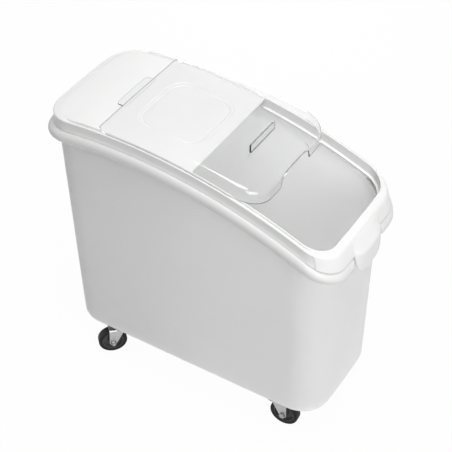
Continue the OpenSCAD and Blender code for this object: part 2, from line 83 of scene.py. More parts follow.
def quads(rows: int, count: int, loop: bool = False) -> Faces:
    """Faces between rows of points that each close on themselves.

    Args:
        rows: Number of rows.
        count: Points in each row.
        loop: True where the last row joins the first.

    Returns:
        The faces by the places of their points, row after row.
    """
    faces: Faces = []
    for i in range(rows if loop else rows - 1):
        a, b = i * count, (i + 1) % rows * count
        faces += [(a + j, a + (j + 1) % count, b + (j + 1) % count, b + j) for j in range(count)]
    return faces


def soften(rows: Rows, radii: Sequence[float], steps: int = 4, loop: bool = False) -> Rows:
    """Rounds the corners of a profile that is given as rows of points.

    Args:
        rows: One row of points per corner of the profile.
        radii: Rounding of each corner, 0 for none.
        steps: Faces in each rounding.
        loop: True where the profile closes on itself.

    Returns:
        More rows, with each rounded corner replaced by a short curve.
    """
    out: Rows = []
    last = len(rows) - 1
    for i, (row, radius) in enumerate(zip(rows, radii)):
        if radius <= 0 or (not loop and i in (0, last)):
            out.append(row)
            continue
        arms = []
        for other in (rows[i - 1], rows[(i + 1) % len(rows)]):
            way = other - row
            length = np.maximum(np.linalg.norm(way, axis=1, keepdims=True), 1e-6)
            arms.append(row + way * (np.minimum(radius, ARM_SHARE * length) / length))
        for u in np.linspace(0.0, 1.0, steps + 1):
            out.append((1 - u) ** 2 * arms[0] + 2 * u * (1 - u) * row + u * u * arms[1])
    return out


@dataclass(frozen=True)
class Stations:
    """Places round a rounded rectangle, from the middle of the front by the right side and back by the left."""

    across: Array
    along: Array
    nx: Array
    ny: Array

    @staticmethod
    def ring(front: Sequence[float], corner: int = 20, side: int = 64, rear: int = 8) -> "Stations":
        """Lays the stations out.

        Args:
            front: Shares of the straight front half, from the middle outward.
            corner: Faces in each corner.
            side: Faces along each side.
            rear: Faces in each half of the straight rear.

        Returns:
            The stations of the whole ring.
        """
        a = np.radians(np.linspace(0, 90, corner + 1))
        t = np.asarray(front, float)
        u = np.arange(1, side) / side
        w = np.linspace(1, 0, rear + 1)[1:]
        one = np.ones_like
        half = np.round(np.vstack([
            np.c_[t, 0 * t, 0 * t, -one(t)],
            np.c_[one(a), 0 * a, np.sin(a), -np.cos(a)],
            np.c_[one(u), u, one(u), 0 * u],
            np.c_[one(a), one(a), np.cos(a), np.sin(a)],
            np.c_[w, one(w), 0 * w, one(w)]]), 9)
        back = half[-2:0:-1] * [-1, 1, -1, 1]
        return Stations(*np.vstack([half, back]).T)

    @staticmethod
    def with_feature(half_width: float, straight: float, corner: int = 20) -> "Stations":
        """Ring with close stations over a feature in the middle of the front, such as a tab or a notch."""
        t = np.sin(np.linspace(0, math.pi / 2, 26)) * half_width / straight
        return Stations.ring(np.r_[t, np.linspace(t[-1], 1, 6)[1:-1]], corner)

    @property
    def at_front(self) -> Array:
        """True on the straight front."""
        return (self.along == 0) & (self.nx == 0)


@dataclass(frozen=True)
class PlanLine:
    """Rounded outline in plan whose straight ends bow out a little."""

    half_width: float
    front: float
    rear: float
    front_r: float
    rear_r: float
    bow: float = 1.0

    def points(self, st: Stations) -> tuple[Array, Array]:
        """Places x and y at the stations.

        Args:
            st: The stations.

        Returns:
            Places across and along the bin.
        """
        r = mix(self.front_r, self.rear_r, st.along)
        bow = np.where(st.nx == 0, self.bow * (1 - st.across ** 2), 0.0)
        x = st.across * (self.half_width - r) + st.nx * r
        y = mix(self.front + self.front_r, self.rear - self.rear_r, st.along) + st.ny * (r + bow)
        return x, y

    def blend(self, other: "PlanLine", st: Stations, share: Value) -> tuple[Array, ...]:
        """Places x and y part of the way to another outline, by a share at each station."""
        return tuple(mix(a, b, share) for a, b in zip(self.points(st), other.points(st)))

    def toward(self, other: "PlanLine", t: float) -> "PlanLine":
        """Outline part of the way to another."""
        return PlanLine(*(mix(getattr(self, k), getattr(other, k), t)
                          for k in ("half_width", "front", "rear", "front_r", "rear_r", "bow")))


@dataclass(frozen=True)
class RimCurve:
    """Circle that the rim follows in side view."""

    radius: float = 1172.0
    top: float = 701.0
    peak_y: float = 176.0

    def z(self, y: Array, h: Value) -> Array:
        """Height at y, with h measured square to the curve."""
        return self.top - self.radius + np.sqrt((self.radius + h) ** 2 - (y - self.peak_y) ** 2)

    def lift(self, x: Array, y: Array, h: Value) -> Array:
        """Row of points at a height over the curve."""
        return np.c_[x, y, self.z(y, h)]

    def ring(self, st: Stations, line: PlanLine, h: Value) -> Array:
        """Row of points on an outline, at a height over the curve."""
        return self.lift(*line.points(st), h)


RIM = RimCurve()


def smooth(mesh: bpy.types.Mesh) -> None:
    """Shades a mesh smooth and keeps its sharper edges crisp."""
    mesh.shade_smooth()
    mesh.set_sharp_from_angle(angle=math.radians(SHARP_DEG))


class Shell:
    """Points and faces of one piece while it is put together."""

    def __init__(self) -> None:
        """Starts empty."""
        self.points: list[Array] = []
        self.faces: Faces = []
        self.marks: list[int] = []
        self.count = 0

    def add(self, points: Array, faces: Faces, marks: Sequence[int] = ()) -> "Shell":
        """Adds points and the faces that join them.

        Args:
            points: The new points.
            faces: Faces by the places of their points among the new ones.
            marks: Place of each face's material, the first where left out.

        Returns:
            The shell itself.
        """
        self.faces += [tuple(i + self.count for i in f) for f in faces]
        self.marks += list(marks) or [0] * len(faces)
        self.points.append(np.asarray(points, float))
        self.count += len(points)
        return self

    def skin(self, rows: Rows, loop: bool = False, edge: range = range(0)) -> "Shell":
        """Joins rows of a ring.

        Args:
            rows: Rows of equal length, each going round the ring.
            loop: True where the last row joins the first; otherwise strips across X close both ends.
            edge: Rows whose faces take the second material.

        Returns:
            The shell itself.
        """
        m, n = len(rows), len(rows[0])
        half = n // 2
        faces = quads(m, n, loop)
        if not loop:
            strips = [(0, 1, n - 1), (half - 1, half, half + 1)]
            strips += [(j, j + 1, n - j - 1, n - j) for j in range(1, half - 1)]
            faces += strips + [tuple((m - 1) * n + k for k in reversed(f)) for f in strips]
        return self.add(np.vstack(rows), faces, [int(k // n in edge) for k in range(len(faces))])

    def lathe(self, profile: Outline, steps: int = 64) -> "Shell":
        """Turns a closed profile of radius and height about Z.

        Args:
            profile: Points of the profile.
            steps: Faces round the axis.

        Returns:
            The shell itself.
        """
        a = np.linspace(0, 2 * math.pi, steps, endpoint=False)
        rings = [np.c_[r * np.cos(a), r * np.sin(a), np.full(steps, h)] for r, h in np.asarray(profile, float)]
        return self.add(np.vstack(rings), quads(len(rings), steps, loop=True))

    def prism(self, outline: Outline, low: float, high: float, edge: float) -> "Shell":
        """Upright prism with chamfered rims.

        Args:
            outline: Points of the outline in plan, anticlockwise and convex.
            low: Height of its foot.
            high: Height of its top.
            edge: Size of the chamfer.

        Returns:
            The shell itself.
        """
        p = np.asarray(outline, float)
        centre = p.mean(axis=0)
        inner = centre + (p - centre) * (1 - edge / np.linalg.norm(p - centre, axis=1, keepdims=True))
        levels = [(inner, low), (p, low + edge), (p, high - edge), (inner, high)]
        n = len(p)
        pts = np.vstack([np.c_[q, np.full(n, z)] for q, z in levels])
        ends = [tuple(reversed(range(n))), tuple(range(3 * n, 4 * n))]
        return self.add(pts, quads(len(levels), n) + ends, [1] * 3 * n + [0, 0])

    def moved(self, matrix: Matrix) -> "Shell":
        """Turns and shifts all points so far.

        Args:
            matrix: The move, in millimetres.

        Returns:
            The shell itself.
        """
        m = np.array(matrix)
        self.points = [p @ m[:3, :3].T + m[:3, 3] for p in self.points]
        return self

    def to_object(self, name: str, materials: Sequence[bpy.types.Material] = ()) -> Object:
        """Makes the object.

        Args:
            name: Name of the piece.
            materials: Materials that the faces name by place, none where the piece gets one later.

        Returns:
            The linked object, smooth shaded.
        """
        mesh = bpy.data.meshes.new(name)
        mesh.from_pydata((np.vstack(self.points) * MM).tolist(), [], self.faces)
        for material in materials:
            mesh.materials.append(material)
        if materials:
            mesh.polygons.foreach_set("material_index", self.marks)
        work = bmesh.new()
        work.from_mesh(mesh)
        bmesh.ops.remove_doubles(work, verts=work.verts, dist=WELD_M)
        bmesh.ops.recalc_face_normals(work, faces=work.faces)
        work.to_mesh(mesh)
        work.free()
        smooth(mesh)
        obj = bpy.data.objects.new(name, mesh)
        bpy.context.scene.collection.objects.link(obj)
        return obj


def settle(obj: Object, finish: "Finish", body: str, node: str) -> None:
    """Dresses a piece and ties it to the frame.

    Args:
        obj: The piece.
        finish: Its finish, named as the material slot of the record that it stands for.
        body: Body that it moves with.
        node: Node of the frame that it stands for.
    """
    if not obj.data.materials:
        obj.data.materials.append(finish.material())
    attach(obj, body)
    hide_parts(node)
    LOG.info("%s: %d faces, moves with %s", obj.name, len(obj.data.polygons), body)


def union(obj: Object, *others: Object) -> None:
    """Welds other solids into a piece and removes them.

    Args:
        obj: The piece.
        others: The solids.
    """
    for other in others:
        join = obj.modifiers.new("weld", "BOOLEAN")
        join.operation = "UNION"
        join.solver = "EXACT"
        join.object = other
        with bpy.context.temp_override(object=obj, active_object=obj, selected_objects=[obj]):
            bpy.ops.object.modifier_apply(modifier=join.name)
        bpy.data.objects.remove(other)
    smooth(obj.data)


class NodeBoard:
    """Adds nodes to a shader tree and links them by name."""

    def __init__(self, tree: bpy.types.NodeTree) -> None:
        """Clears the tree."""
        self.tree = tree
        tree.nodes.clear()

    def add(self, kind: str, settings: dict | None = None, **inputs: object) -> bpy.types.Node:
        """Adds one node.

        Args:
            kind: Blender's name of the node type.
            settings: Properties of the node itself.
            inputs: Values or sockets for its inputs; a name i3 is the input at place 3.

        Returns:
            The node.
        """
        node = self.tree.nodes.new(kind)
        for key, value in (settings or {}).items():
            setattr(node, key, value)
        for key, value in inputs.items():
            at = int(key[1:]) if key[0] == "i" and key[1:].isdigit() else key.replace("_", " ")
            if isinstance(value, bpy.types.NodeSocket):
                self.tree.links.new(value, node.inputs[at])
            else:
                node.inputs[at].default_value = value
        return node

    def place(self) -> Socket:
        """Place on the piece."""
        return self.add("ShaderNodeTexCoord").outputs["Object"]

    def noise(self, where: Socket, scale: object, detail: float = 3.0, rough: float = 0.5) -> Socket:
        """Smooth noise between 0 and 1."""
        node = self.add("ShaderNodeTexNoise", Vector=where, Scale=scale, Detail=detail, Roughness=rough)
        return node.outputs[0]

    def span(self, value: Socket, low: float, high: float, first: float = 0.0, last: float = 1.0) -> Socket:
        """Maps a range of a value to another range, held at its ends."""
        return self.add("ShaderNodeMapRange", i0=value, i1=low, i2=high, i3=first, i4=last).outputs[0]

    def bump(self, height: Socket, strength: float) -> Socket:
        """Normal of a skin with this height in millimetres."""
        return self.add("ShaderNodeBump", Strength=strength, Distance=MM, Height=height).outputs[0]

    def math(self, what: str, a: object, b: object) -> Socket:
        """One sum on two values."""
        return self.add("ShaderNodeMath", {"operation": what}, i0=a, i1=b).outputs[0]

    def blend(self, share: object, a: object, b: object) -> Socket:
        """Colour between a and b."""
        return self.add("ShaderNodeMix", {"data_type": "RGBA"}, i0=share, i6=a, i7=b).outputs[2]


class Effect(Enum):
    """Shared surface effects, each one node group."""

    GRAIN = "moulded_grain"
    SCUFFS = "handling_scuffs"
    DUST = "settled_dust"
    WEAR = "edge_wear"

    def group(self) -> bpy.types.NodeTree:
        """The effect's node group, made on first use."""
        found = bpy.data.node_groups.get(self.value)
        return found or getattr(self, "_" + self.name.lower())()

    def _start(self, floats: dict[str, float], outputs: Sequence[str]) -> tuple[NodeBoard, bpy.types.Node]:
        """New group with float inputs and outputs.

        Args:
            floats: Input names and their defaults.
            outputs: Output names.

        Returns:
            The board and the group's input node.
        """
        tree = bpy.data.node_groups.new(self.value, "ShaderNodeTree")
        for name, value in floats.items():
            socket = tree.interface.new_socket(name=name, in_out="INPUT", socket_type="NodeSocketFloat")
            socket.default_value = value
        for name in outputs:
            tree.interface.new_socket(name=name, in_out="OUTPUT", socket_type="NodeSocketFloat")
        board = NodeBoard(tree)
        return board, board.add("NodeGroupInput")

    def _grain(self) -> bpy.types.NodeTree:
        """Fine skin of a moulding and its slow change of tone.

        Returns:
            The group.
        """
        b, given = self._start({"Scale": 600.0, "Cloud": 7.0}, ("Height", "Tone"))
        where = b.place()
        fine = b.noise(where, given.outputs["Scale"], 2.0, 0.55)
        slow = b.noise(where, given.outputs["Cloud"], 4.0, 0.6)
        b.add("NodeGroupOutput", Height=fine, Tone=b.span(slow, 0.3, 0.7))
        return b.tree

    def _scuffs(self) -> bpy.types.NodeTree:
        """Thin scratches in two directions, in patches.

        Returns:
            The group.
        """
        b, given = self._start({"Scale": 9.0, "Amount": 0.5}, ("Mask",))
        where = b.place()
        marks = []
        for turn, stretch in ((0.5, (1.0, 26.0, 3.0)), (2.1, (22.0, 1.0, 4.0))):
            way = b.add("ShaderNodeMapping", Vector=where, Rotation=(0.3, turn, turn), Scale=stretch)
            marks.append(b.span(b.noise(way.outputs[0], given.outputs["Scale"], 5.0, 0.7), 0.66, 0.72))
        patch = b.span(b.noise(where, 5.0), 0.45, 0.7)
        shown = b.math("MULTIPLY", b.math("MAXIMUM", *marks), patch)
        b.add("NodeGroupOutput", Mask=b.math("MULTIPLY", shown, given.outputs["Amount"]))
        return b.tree

    def _dust(self) -> bpy.types.NodeTree:
        """Fine dust on faces that look up.

        Returns:
            The group.
        """
        b, given = self._start({"Scale": 160.0, "Amount": 0.3}, ("Mask",))
        normal = b.add("ShaderNodeNewGeometry").outputs["Normal"]
        up = b.span(b.add("ShaderNodeSeparateXYZ", Vector=normal).outputs["Z"], 0.2, 0.95)
        speck = b.span(b.noise(b.place(), given.outputs["Scale"], 6.0, 0.75), 0.45, 0.75)
        cover = b.math("MULTIPLY", up, speck)
        b.add("NodeGroupOutput", Mask=b.math("MULTIPLY", cover, given.outputs["Amount"]))
        return b.tree

    def _wear(self) -> bpy.types.NodeTree:
        """Rubbed edges, broken up by noise.

        Returns:
            The group.
        """
        b, given = self._start({"Start": 0.53, "Amount": 0.5}, ("Mask",))
        point = b.add("ShaderNodeNewGeometry").outputs["Pointiness"]
        edge = b.span(b.math("SUBTRACT", point, given.outputs["Start"]), 0.0, 0.06)
        broken = b.math("MULTIPLY", edge, b.span(b.noise(b.place(), 260.0, 4.0), 0.35, 0.6))
        b.add("NodeGroupOutput", Mask=b.math("MULTIPLY", broken, given.outputs["Amount"]))
        return b.tree


def use(board: NodeBoard, effect: Effect, **values: float) -> bpy.types.Node:
    """Places a shared effect in a material with its own values."""
    return board.add("ShaderNodeGroup", {"node_tree": effect.group()}, **values)


def rgba(color: Color) -> Rgba:
    """Colour with full alpha."""
    return (*color, 1.0)


def toned(color: Color, factor: float) -> Rgba:
    """Colour made darker or lighter by a factor, with full alpha."""
    return rgba(tuple(min(1.0, c * factor) for c in color))


@dataclass(frozen=True)
class Finish:
    """Finish of a piece: a name, a colour and a roughness."""

    name: str
    color: Color
    rough: float

    def material(self) -> bpy.types.Material:
        """The material, made on first use.

        Returns:
            The material.
        """
        label = f"{self.name}_finish"
        found = bpy.data.materials.get(label)
        if found:
            return found
        made = bpy.data.materials.new(label)
        made.use_nodes = True
        board = NodeBoard(made.node_tree)
        board.add("ShaderNodeOutputMaterial", Surface=self.surface(board))
        return made

    def surface(self, b: NodeBoard) -> Socket:
        """Shader of the finish."""
        return b.add("ShaderNodeBsdfPrincipled", Base_Color=rgba(self.color), Roughness=self.rough).outputs[0]


@dataclass(frozen=True)
class MouldedPlastic(Finish):
    """Opaque moulded plastic with a fine skin, slow clouding and handling scuffs."""

    grain: float = 600.0
    depth: float = 0.02
    cloud: float = 0.03
    scuff: float = 0.35
    scuff_tone: tuple[float, float] = (0.5, 0.22)
    scuff_rough: float = 0.25
    rough_span: tuple[float, float] = (0.05, 0.04)
    dust: float = 0.0
    dust_color: Color = (0.6, 0.58, 0.54)
    scatter: float = 0.0
    scatter_mm: float = 12.0
    gloss: float = 0.5
    ior: float = 1.5

    def surface(self, b: NodeBoard) -> Socket:
        """Shader with colour, roughness and bump from the shared effects.

        Args:
            b: Board of the material.

        Returns:
            The shader.
        """
        grain = use(b, Effect.GRAIN, Scale=self.grain)
        scuff = use(b, Effect.SCUFFS, Amount=self.scuff)
        tone = b.blend(grain.outputs["Tone"], toned(self.color, 1 - self.cloud), rgba(self.color))
        dull = tuple(mix(c, *self.scuff_tone) for c in self.color)
        tone = b.blend(scuff.outputs["Mask"], tone, rgba(dull))
        if self.dust:
            dusty = use(b, Effect.DUST, Amount=self.dust)
            tone = b.blend(dusty.outputs["Mask"], tone, rgba(self.dust_color))
        dark, light = self.rough_span
        rough = b.span(grain.outputs["Tone"], 0.0, 1.0, self.rough + dark, self.rough - light)
        rough = b.math("ADD", rough, b.math("MULTIPLY", scuff.outputs["Mask"], self.scuff_rough))
        bump = b.bump(grain.outputs["Height"], self.depth)
        return b.add("ShaderNodeBsdfPrincipled", Base_Color=tone, Roughness=rough, Normal=bump, IOR=self.ior,
                     Specular_IOR_Level=self.gloss, Subsurface_Weight=self.scatter,
                     Subsurface_Radius=(1.0, 1.0, 1.0), Subsurface_Scale=self.scatter_mm * MM).outputs[0]


@dataclass(frozen=True)
class ClearPlastic(Finish):
    """Clear plastic with fine surface scratches and a colour darkened at glancing angles, which is painted dark
    reflection; it lets lamps through.
    """

    pass_light: float = 0.96
    # edge is the share of the colour kept at glancing angles: painted dark reflection along outlines.
    edge: float = 0.35
    painted_edge_power: float = 3.5
    scratch: float = 0.5
    scratch_scale: float = 14.0
    scratch_rough: float = 0.08
    ripple: float = 0.008
    ripple_scale: float = 40.0
    ior: float = 1.49

    def surface(self, b: NodeBoard) -> Socket:
        """Shader of clear plastic, transparent to the rays of lamps.

        Args:
            b: Board of the material.

        Returns:
            The shader.
        """
        scuff = use(b, Effect.SCUFFS, Scale=self.scratch_scale, Amount=self.scratch)
        grain = use(b, Effect.GRAIN, Scale=self.ripple_scale)
        rough = b.math("ADD", b.math("MULTIPLY", scuff.outputs["Mask"], self.scratch_rough), self.rough)
        # Colour darkened where the surface turns away from view: painted dark reflection.
        facing = b.add("ShaderNodeLayerWeight", Blend=0.5).outputs["Facing"]
        painted_dark_rim = b.math("POWER", facing, self.painted_edge_power)
        tone = b.blend(painted_dark_rim, rgba(self.color), toned(self.color, self.edge))
        glass = b.add("ShaderNodeBsdfPrincipled", Base_Color=tone, Roughness=rough, IOR=self.ior,
                      Transmission_Weight=1.0, Normal=b.bump(grain.outputs["Height"], self.ripple))
        clear = b.add("ShaderNodeBsdfTransparent", Color=rgba((self.pass_light,) * 3))
        path = b.add("ShaderNodeLightPath").outputs
        later = b.math("GREATER_THAN", path["Diffuse Depth"], 0.5)
        plain = b.math("MAXIMUM", path["Is Shadow Ray"], later)
        return b.add("ShaderNodeMixShader", i0=plain, i1=glass.outputs[0], i2=clear.outputs[0]).outputs[0]


@dataclass(frozen=True)
class ZincSteel(Finish):
    """Zinc plated steel with a faint spangle, rubbed edges and a little dust."""

    spangle: float = 240.0
    flake_tone: float = 0.82
    grain: float = 900.0
    cloud: float = 60.0
    depth: float = 0.05
    rough_span: tuple[float, float] = (0.06, 0.1)
    wear: float = 0.6
    wear_tone: float = 1.18
    dust: float = 0.35
    dust_color: Color = (0.45, 0.44, 0.42)

    def surface(self, b: NodeBoard) -> Socket:
        """Shader of plated metal.

        Args:
            b: Board of the material.

        Returns:
            The shader.
        """
        cell = b.add("ShaderNodeTexVoronoi", Vector=b.place(), Scale=self.spangle).outputs["Color"]
        flake = b.add("ShaderNodeSeparateColor", Color=cell).outputs[0]
        grain = use(b, Effect.GRAIN, Scale=self.grain, Cloud=self.cloud)
        wear = use(b, Effect.WEAR, Amount=self.wear)
        dust = use(b, Effect.DUST, Amount=self.dust)
        tone = b.blend(flake, toned(self.color, self.flake_tone), rgba(self.color))
        tone = b.blend(wear.outputs["Mask"], tone, toned(self.color, self.wear_tone))
        tone = b.blend(dust.outputs["Mask"], tone, rgba(self.dust_color))
        below, above = self.rough_span
        rough = b.span(grain.outputs["Tone"], 0.0, 1.0, self.rough - below, self.rough + above)
        return b.add("ShaderNodeBsdfPrincipled", Base_Color=tone, Roughness=rough, Metallic=1.0,
                     Normal=b.bump(grain.outputs["Height"], self.depth)).outputs[0]


TUB_PLASTIC = MouldedPlastic("tub_plastic", (0.975, 0.977, 0.973), 0.42, grain=420.0, depth=0.05, scatter=0.88,
                             scatter_mm=34.0)
# The bead's colour is darker than the tub's plastic: painted shade on the rolled bead.
TUB_BEAD_PAINTED_SHADE = MouldedPlastic("tub_plastic_bead_painted_shade", (0.64, 0.642, 0.638), 0.42, grain=420.0, depth=0.05, scatter=0.25,
                          scatter_mm=6.0)
FRAME_PLASTIC = MouldedPlastic("frame_plastic", (0.71, 0.712, 0.708), 0.34, grain=800.0, depth=0.02, scuff=0.25,
                               scatter=0.25, scatter_mm=6.0)
LID_PLASTIC = ClearPlastic("clear_plastic", (0.99, 0.993, 0.992), 0.004)
# Darkened glass for the lid's edges: painted dark reflection along the lower edge, the grip, the heel and the
# rear seam.
LID_PAINTED_DARK_EDGE = ClearPlastic("clear_plastic_painted_dark_edge", (0.3, 0.32, 0.32), 0.05)
ZINC_SHEET = ZincSteel("zinc_sheet", (0.49, 0.49, 0.495), 0.36)
ZINC_STEEL = ZincSteel("zinc_steel", (0.36, 0.36, 0.37), 0.24, spangle=420.0)
PLAIN_STEEL = ZincSteel("plain_steel", (0.48, 0.48, 0.49), 0.3, spangle=700.0, wear=0.2)
BALL_STEEL = ZincSteel("ball_steel", (0.7, 0.7, 0.72), 0.12, spangle=900.0, wear=0.1)
CORE_PLASTIC = MouldedPlastic("core_plastic", (0.06, 0.06, 0.062), 0.36, grain=700.0, depth=0.06, cloud=0.3,
                              scuff=0.1, dust=0.1, gloss=0.3)
TYRE_RUBBER = MouldedPlastic("tyre_rubber", (0.012, 0.012, 0.0125), 0.5, grain=900.0, depth=0.15, cloud=0.3,
                             scuff=0.1, dust=0.1, gloss=0.2)


@dataclass(frozen=True)
class Mouth:
    """Sizes that the frame, the tub and the lid share round the mouth."""

    half_width: float = 146.8
    front: float = 329.0
    rear: float = 343.0
    corner: float = 52.0
    rear_corner: float = 66.0
    rail: float = 3.0
    groove: float = 4.0
    lip: float = 3.7
    rail_h: float = 2.4
    groove_h: float = 3.2
    web_h: float = 7.0
    band_h: float = 28.0
    seat: float = 0.3

    @property
    def groove_out(self) -> float:
        """Outer wall of the track groove, off the mouth."""
        return self.rail + self.groove

    @property
    def lip_out(self) -> float:
        """Outside of the lip, off the mouth."""
        return self.groove_out + self.lip

    def line(self, side: float, front: float, rear: float) -> PlanLine:
        """Outline that stands off the mouth by its own distance at the side, front and rear."""
        return PlanLine(self.half_width + side, -self.front - front, self.rear + rear, self.corner + side,
                        self.rear_corner + side)


MOUTH = Mouth()


@dataclass
class Tub:
    """Tapered tub with its rolled bead, the thin rim inside the frame and the caster pads."""

    half_width: float = 151.8
    front: float = 335.2
    rear: float = 346.0
    ref_z: float = 600.0
    floor_z: float = 90.0
    leans: tuple[float, float, float] = (9.0, 2.7, 16.0)
    corner: float = 71.0
    wall: float = 4.0
    floor: float = 7.0
    foot_r: float = 14.0
    sump_r: float = 20.0
    bead_h: float = 30.0
    bead_half_width: float = 165.0
    bead_front: float = 363.0
    bead_rear: float = 368.0
    bead_r: float = 70.0
    bead_root: float = 0.35
    tab_hw: float = 57.0
    rim_play: float = 0.1
    outer_steps: tuple[float, ...] = (30.0, 140.0, 250.0)
    inner_steps: tuple[float, ...] = (260.0, 150.0, 44.0)
    pad: tuple[float, float, float] = (56.0, 80.0, 9.0)
    pad_z: tuple[float, float] = (88.0, 93.0)
    pad_edge: float = 0.8

    def lean_at(self, z: Value) -> Value:
        """Share of the walls' lean at a height, 1 at the floor."""
        return (self.ref_z - z) / (self.ref_z - self.floor_z)

    def wall_line(self, z: float, inset: float) -> PlanLine:
        """Outline of the wall at a height.

        Args:
            z: The height.
            inset: Distance in from the outside.

        Returns:
            The outline.
        """
        side, front, rear = (v * self.lean_at(z) for v in self.leans)
        return PlanLine(self.half_width - side - inset, -self.front + front + inset, self.rear - rear - inset,
                        self.corner - inset, self.corner - inset)

    def flat_row(self, st: Stations, inset: float, z: float, at: float) -> Array:
        """Level row of the wall, with the outline it has at another height."""
        x, y = self.wall_line(at, inset).points(st)
        return np.c_[x, y, np.full(len(x), z)]

    def fillet(self, st: Stations, inset: float, z: float, radius: float) -> Rows:
        """Rows of the rounding between floor and wall, from the floor up.

        Args:
            st: Stations of the rows.
            inset: Distance of the wall in from the outside.
            z: Height of the floor.
            radius: Size of the rounding.

        Returns:
            The rows.
        """
        angles = np.radians(np.linspace(0, 90, 9))
        return [self.flat_row(st, inset + radius * (1 - math.sin(a)), z + radius * (1 - math.cos(a)), z)
                for a in angles]

    def wall_row(self, st: Stations, inset: float, h: float) -> Array:
        """Row of the wall that follows the rim.

        Args:
            st: Stations of the row.
            inset: Distance in from the outside.
            h: Height over the rim curve.

        Returns:
            The row.
        """
        high = self.wall_line(self.ref_z, inset)
        lean = self.lean_at(RIM.z(high.points(st)[1], h))
        return RIM.lift(*high.blend(self.wall_line(self.floor_z, inset), st, lean), h)

    def bead_row(self, st: Stations, swell: float, h: float) -> Array:
        """Row of the bead, sunk back behind the tab.

        Args:
            st: Stations of the row.
            swell: Share of the bead's full width.
            h: Height over the rim curve.

        Returns:
            The row.
        """
        full = PlanLine(self.bead_half_width, -self.bead_front, self.bead_rear, self.bead_r, self.bead_r)
        off = np.abs(full.points(st)[0])
        clear = np.where(st.at_front, ramp(self.tab_hw + 2, self.tab_hw + 9, off), 1.0)
        share = self.bead_root + (1 - self.bead_root) * swell * clear
        return RIM.lift(*self.wall_line(self.ref_z, 0.0).blend(full, st, share), h)

    def rows(self) -> Rows:
        """Rows from the middle of the underside over the rim to the inside floor.

        Returns:
            The rows.
        """
        st = Stations.with_feature(self.tab_hw + 9, self.half_width - self.corner)
        rim_in = MOUTH.rail + MOUTH.seat + self.rim_play
        rim_out = MOUTH.groove_out - MOUTH.seat - self.rim_play
        top, bead_top = -MOUTH.web_h - MOUTH.seat, -MOUTH.band_h - MOUTH.seat
        rows = [self.flat_row(st, self.foot_r + 6, self.floor_z, self.floor_z)]
        rows += self.fillet(st, 0.0, self.floor_z, self.foot_r)
        base = self.floor_z + self.foot_r
        rows += [self.flat_row(st, 0, base + 4, self.floor_z)]
        rows += [self.flat_row(st, 0, z, z) for z in (base + v for v in self.outer_steps)]
        under = bead_top - self.bead_h
        profile = [self.wall_row(st, 0, h) for h in (under - 30, under - 8, under - 2)]
        angles = np.radians(np.linspace(-90, 90, 25))
        bead = [self.bead_row(st, math.cos(a), bead_top + self.bead_h / 2 * (math.sin(a) - 1)) for a in angles]
        edge = [RIM.ring(st, MOUTH.line(v, v, v), h) for v, h in (
            (rim_out, bead_top), (rim_out, top), (rim_in, top), (rim_in, bead_top - 4))]
        inner = [self.wall_row(st, self.wall, h) for h in (bead_top - 10, bead_top - 16, bead_top - 34)]
        corners = profile + bead + edge + inner
        radii = [0.0, 0.0, 2.5] + [1.5] + [0.0] * 23 + [1.0] + [2.0, 0.8, 0.8, 3.0] + [4.0, 0.0, 0.0]
        rows += soften(corners, radii)
        low = self.floor_z + self.floor
        rows += [self.flat_row(st, self.wall, low + v, low + v) for v in self.inner_steps]
        rows += reversed(self.fillet(st, self.wall, low, self.sump_r))
        rows.append(self.flat_row(st, self.wall + self.sump_r + 8, low, low))
        return rows

    def build(self) -> Object:
        """Makes the tub with its caster pads.

        Returns:
            The tub.
        """
        shell = Shell().skin(self.rows())
        for corner in Corner:
            pad = Shell().prism(round_rect(*self.pad), *self.pad_z, self.pad_edge)
            pad.moved(corner.matrix(turned=False))
            shell.add(pad.points[0], pad.faces)
        tub = shell.to_object("Tub_moulding", (TUB_PLASTIC.material(), TUB_BEAD_PAINTED_SHADE.material()))
        # Outward and upward faces of the bead take the darker colour, painted shade.
        self.paint_bead_shade(tub.data)
        return tub

    def paint_bead_shade(self, mesh: bpy.types.Mesh) -> None:
        """Gives the bead its own finish: the same plastic, with less light through the thick roll and a darker
        colour that is painted shade.

        Args:
            mesh: Mesh of the tub.
        """
        under = -MOUTH.band_h - MOUTH.seat - self.bead_h - 1.5
        for face in mesh.polygons:
            at, out = face.center / MM, face.normal.dot(Vector((face.center.x, face.center.y, 0.0)))
            if at.z > float(RIM.z(np.array(at.y), under)) and (out > 0 or face.normal.z > 0.5):
                face.material_index = 1

    def dress(self, obj: Object) -> None:
        """Gives the tub its finish and its body."""
        settle(obj, TUB_PLASTIC, "bin", "tub")


@dataclass(frozen=True)
class FrameRow:
    """One corner of the top frame's profile.

    off is its distance off the mouth and height its height over the rim curve, each at the side, front and
    rear; flare adds to the side in front of the recess; pull is the tab's place, height, strength and fade at
    its ends.
    """

    off: tuple[float, float, float]
    height: tuple[float, ...]
    flare: float = 0.0
    pull: tuple[float, float, float, float] = (0.0, 0.0, 0.0, 1.0)
    soft: float = 0.8


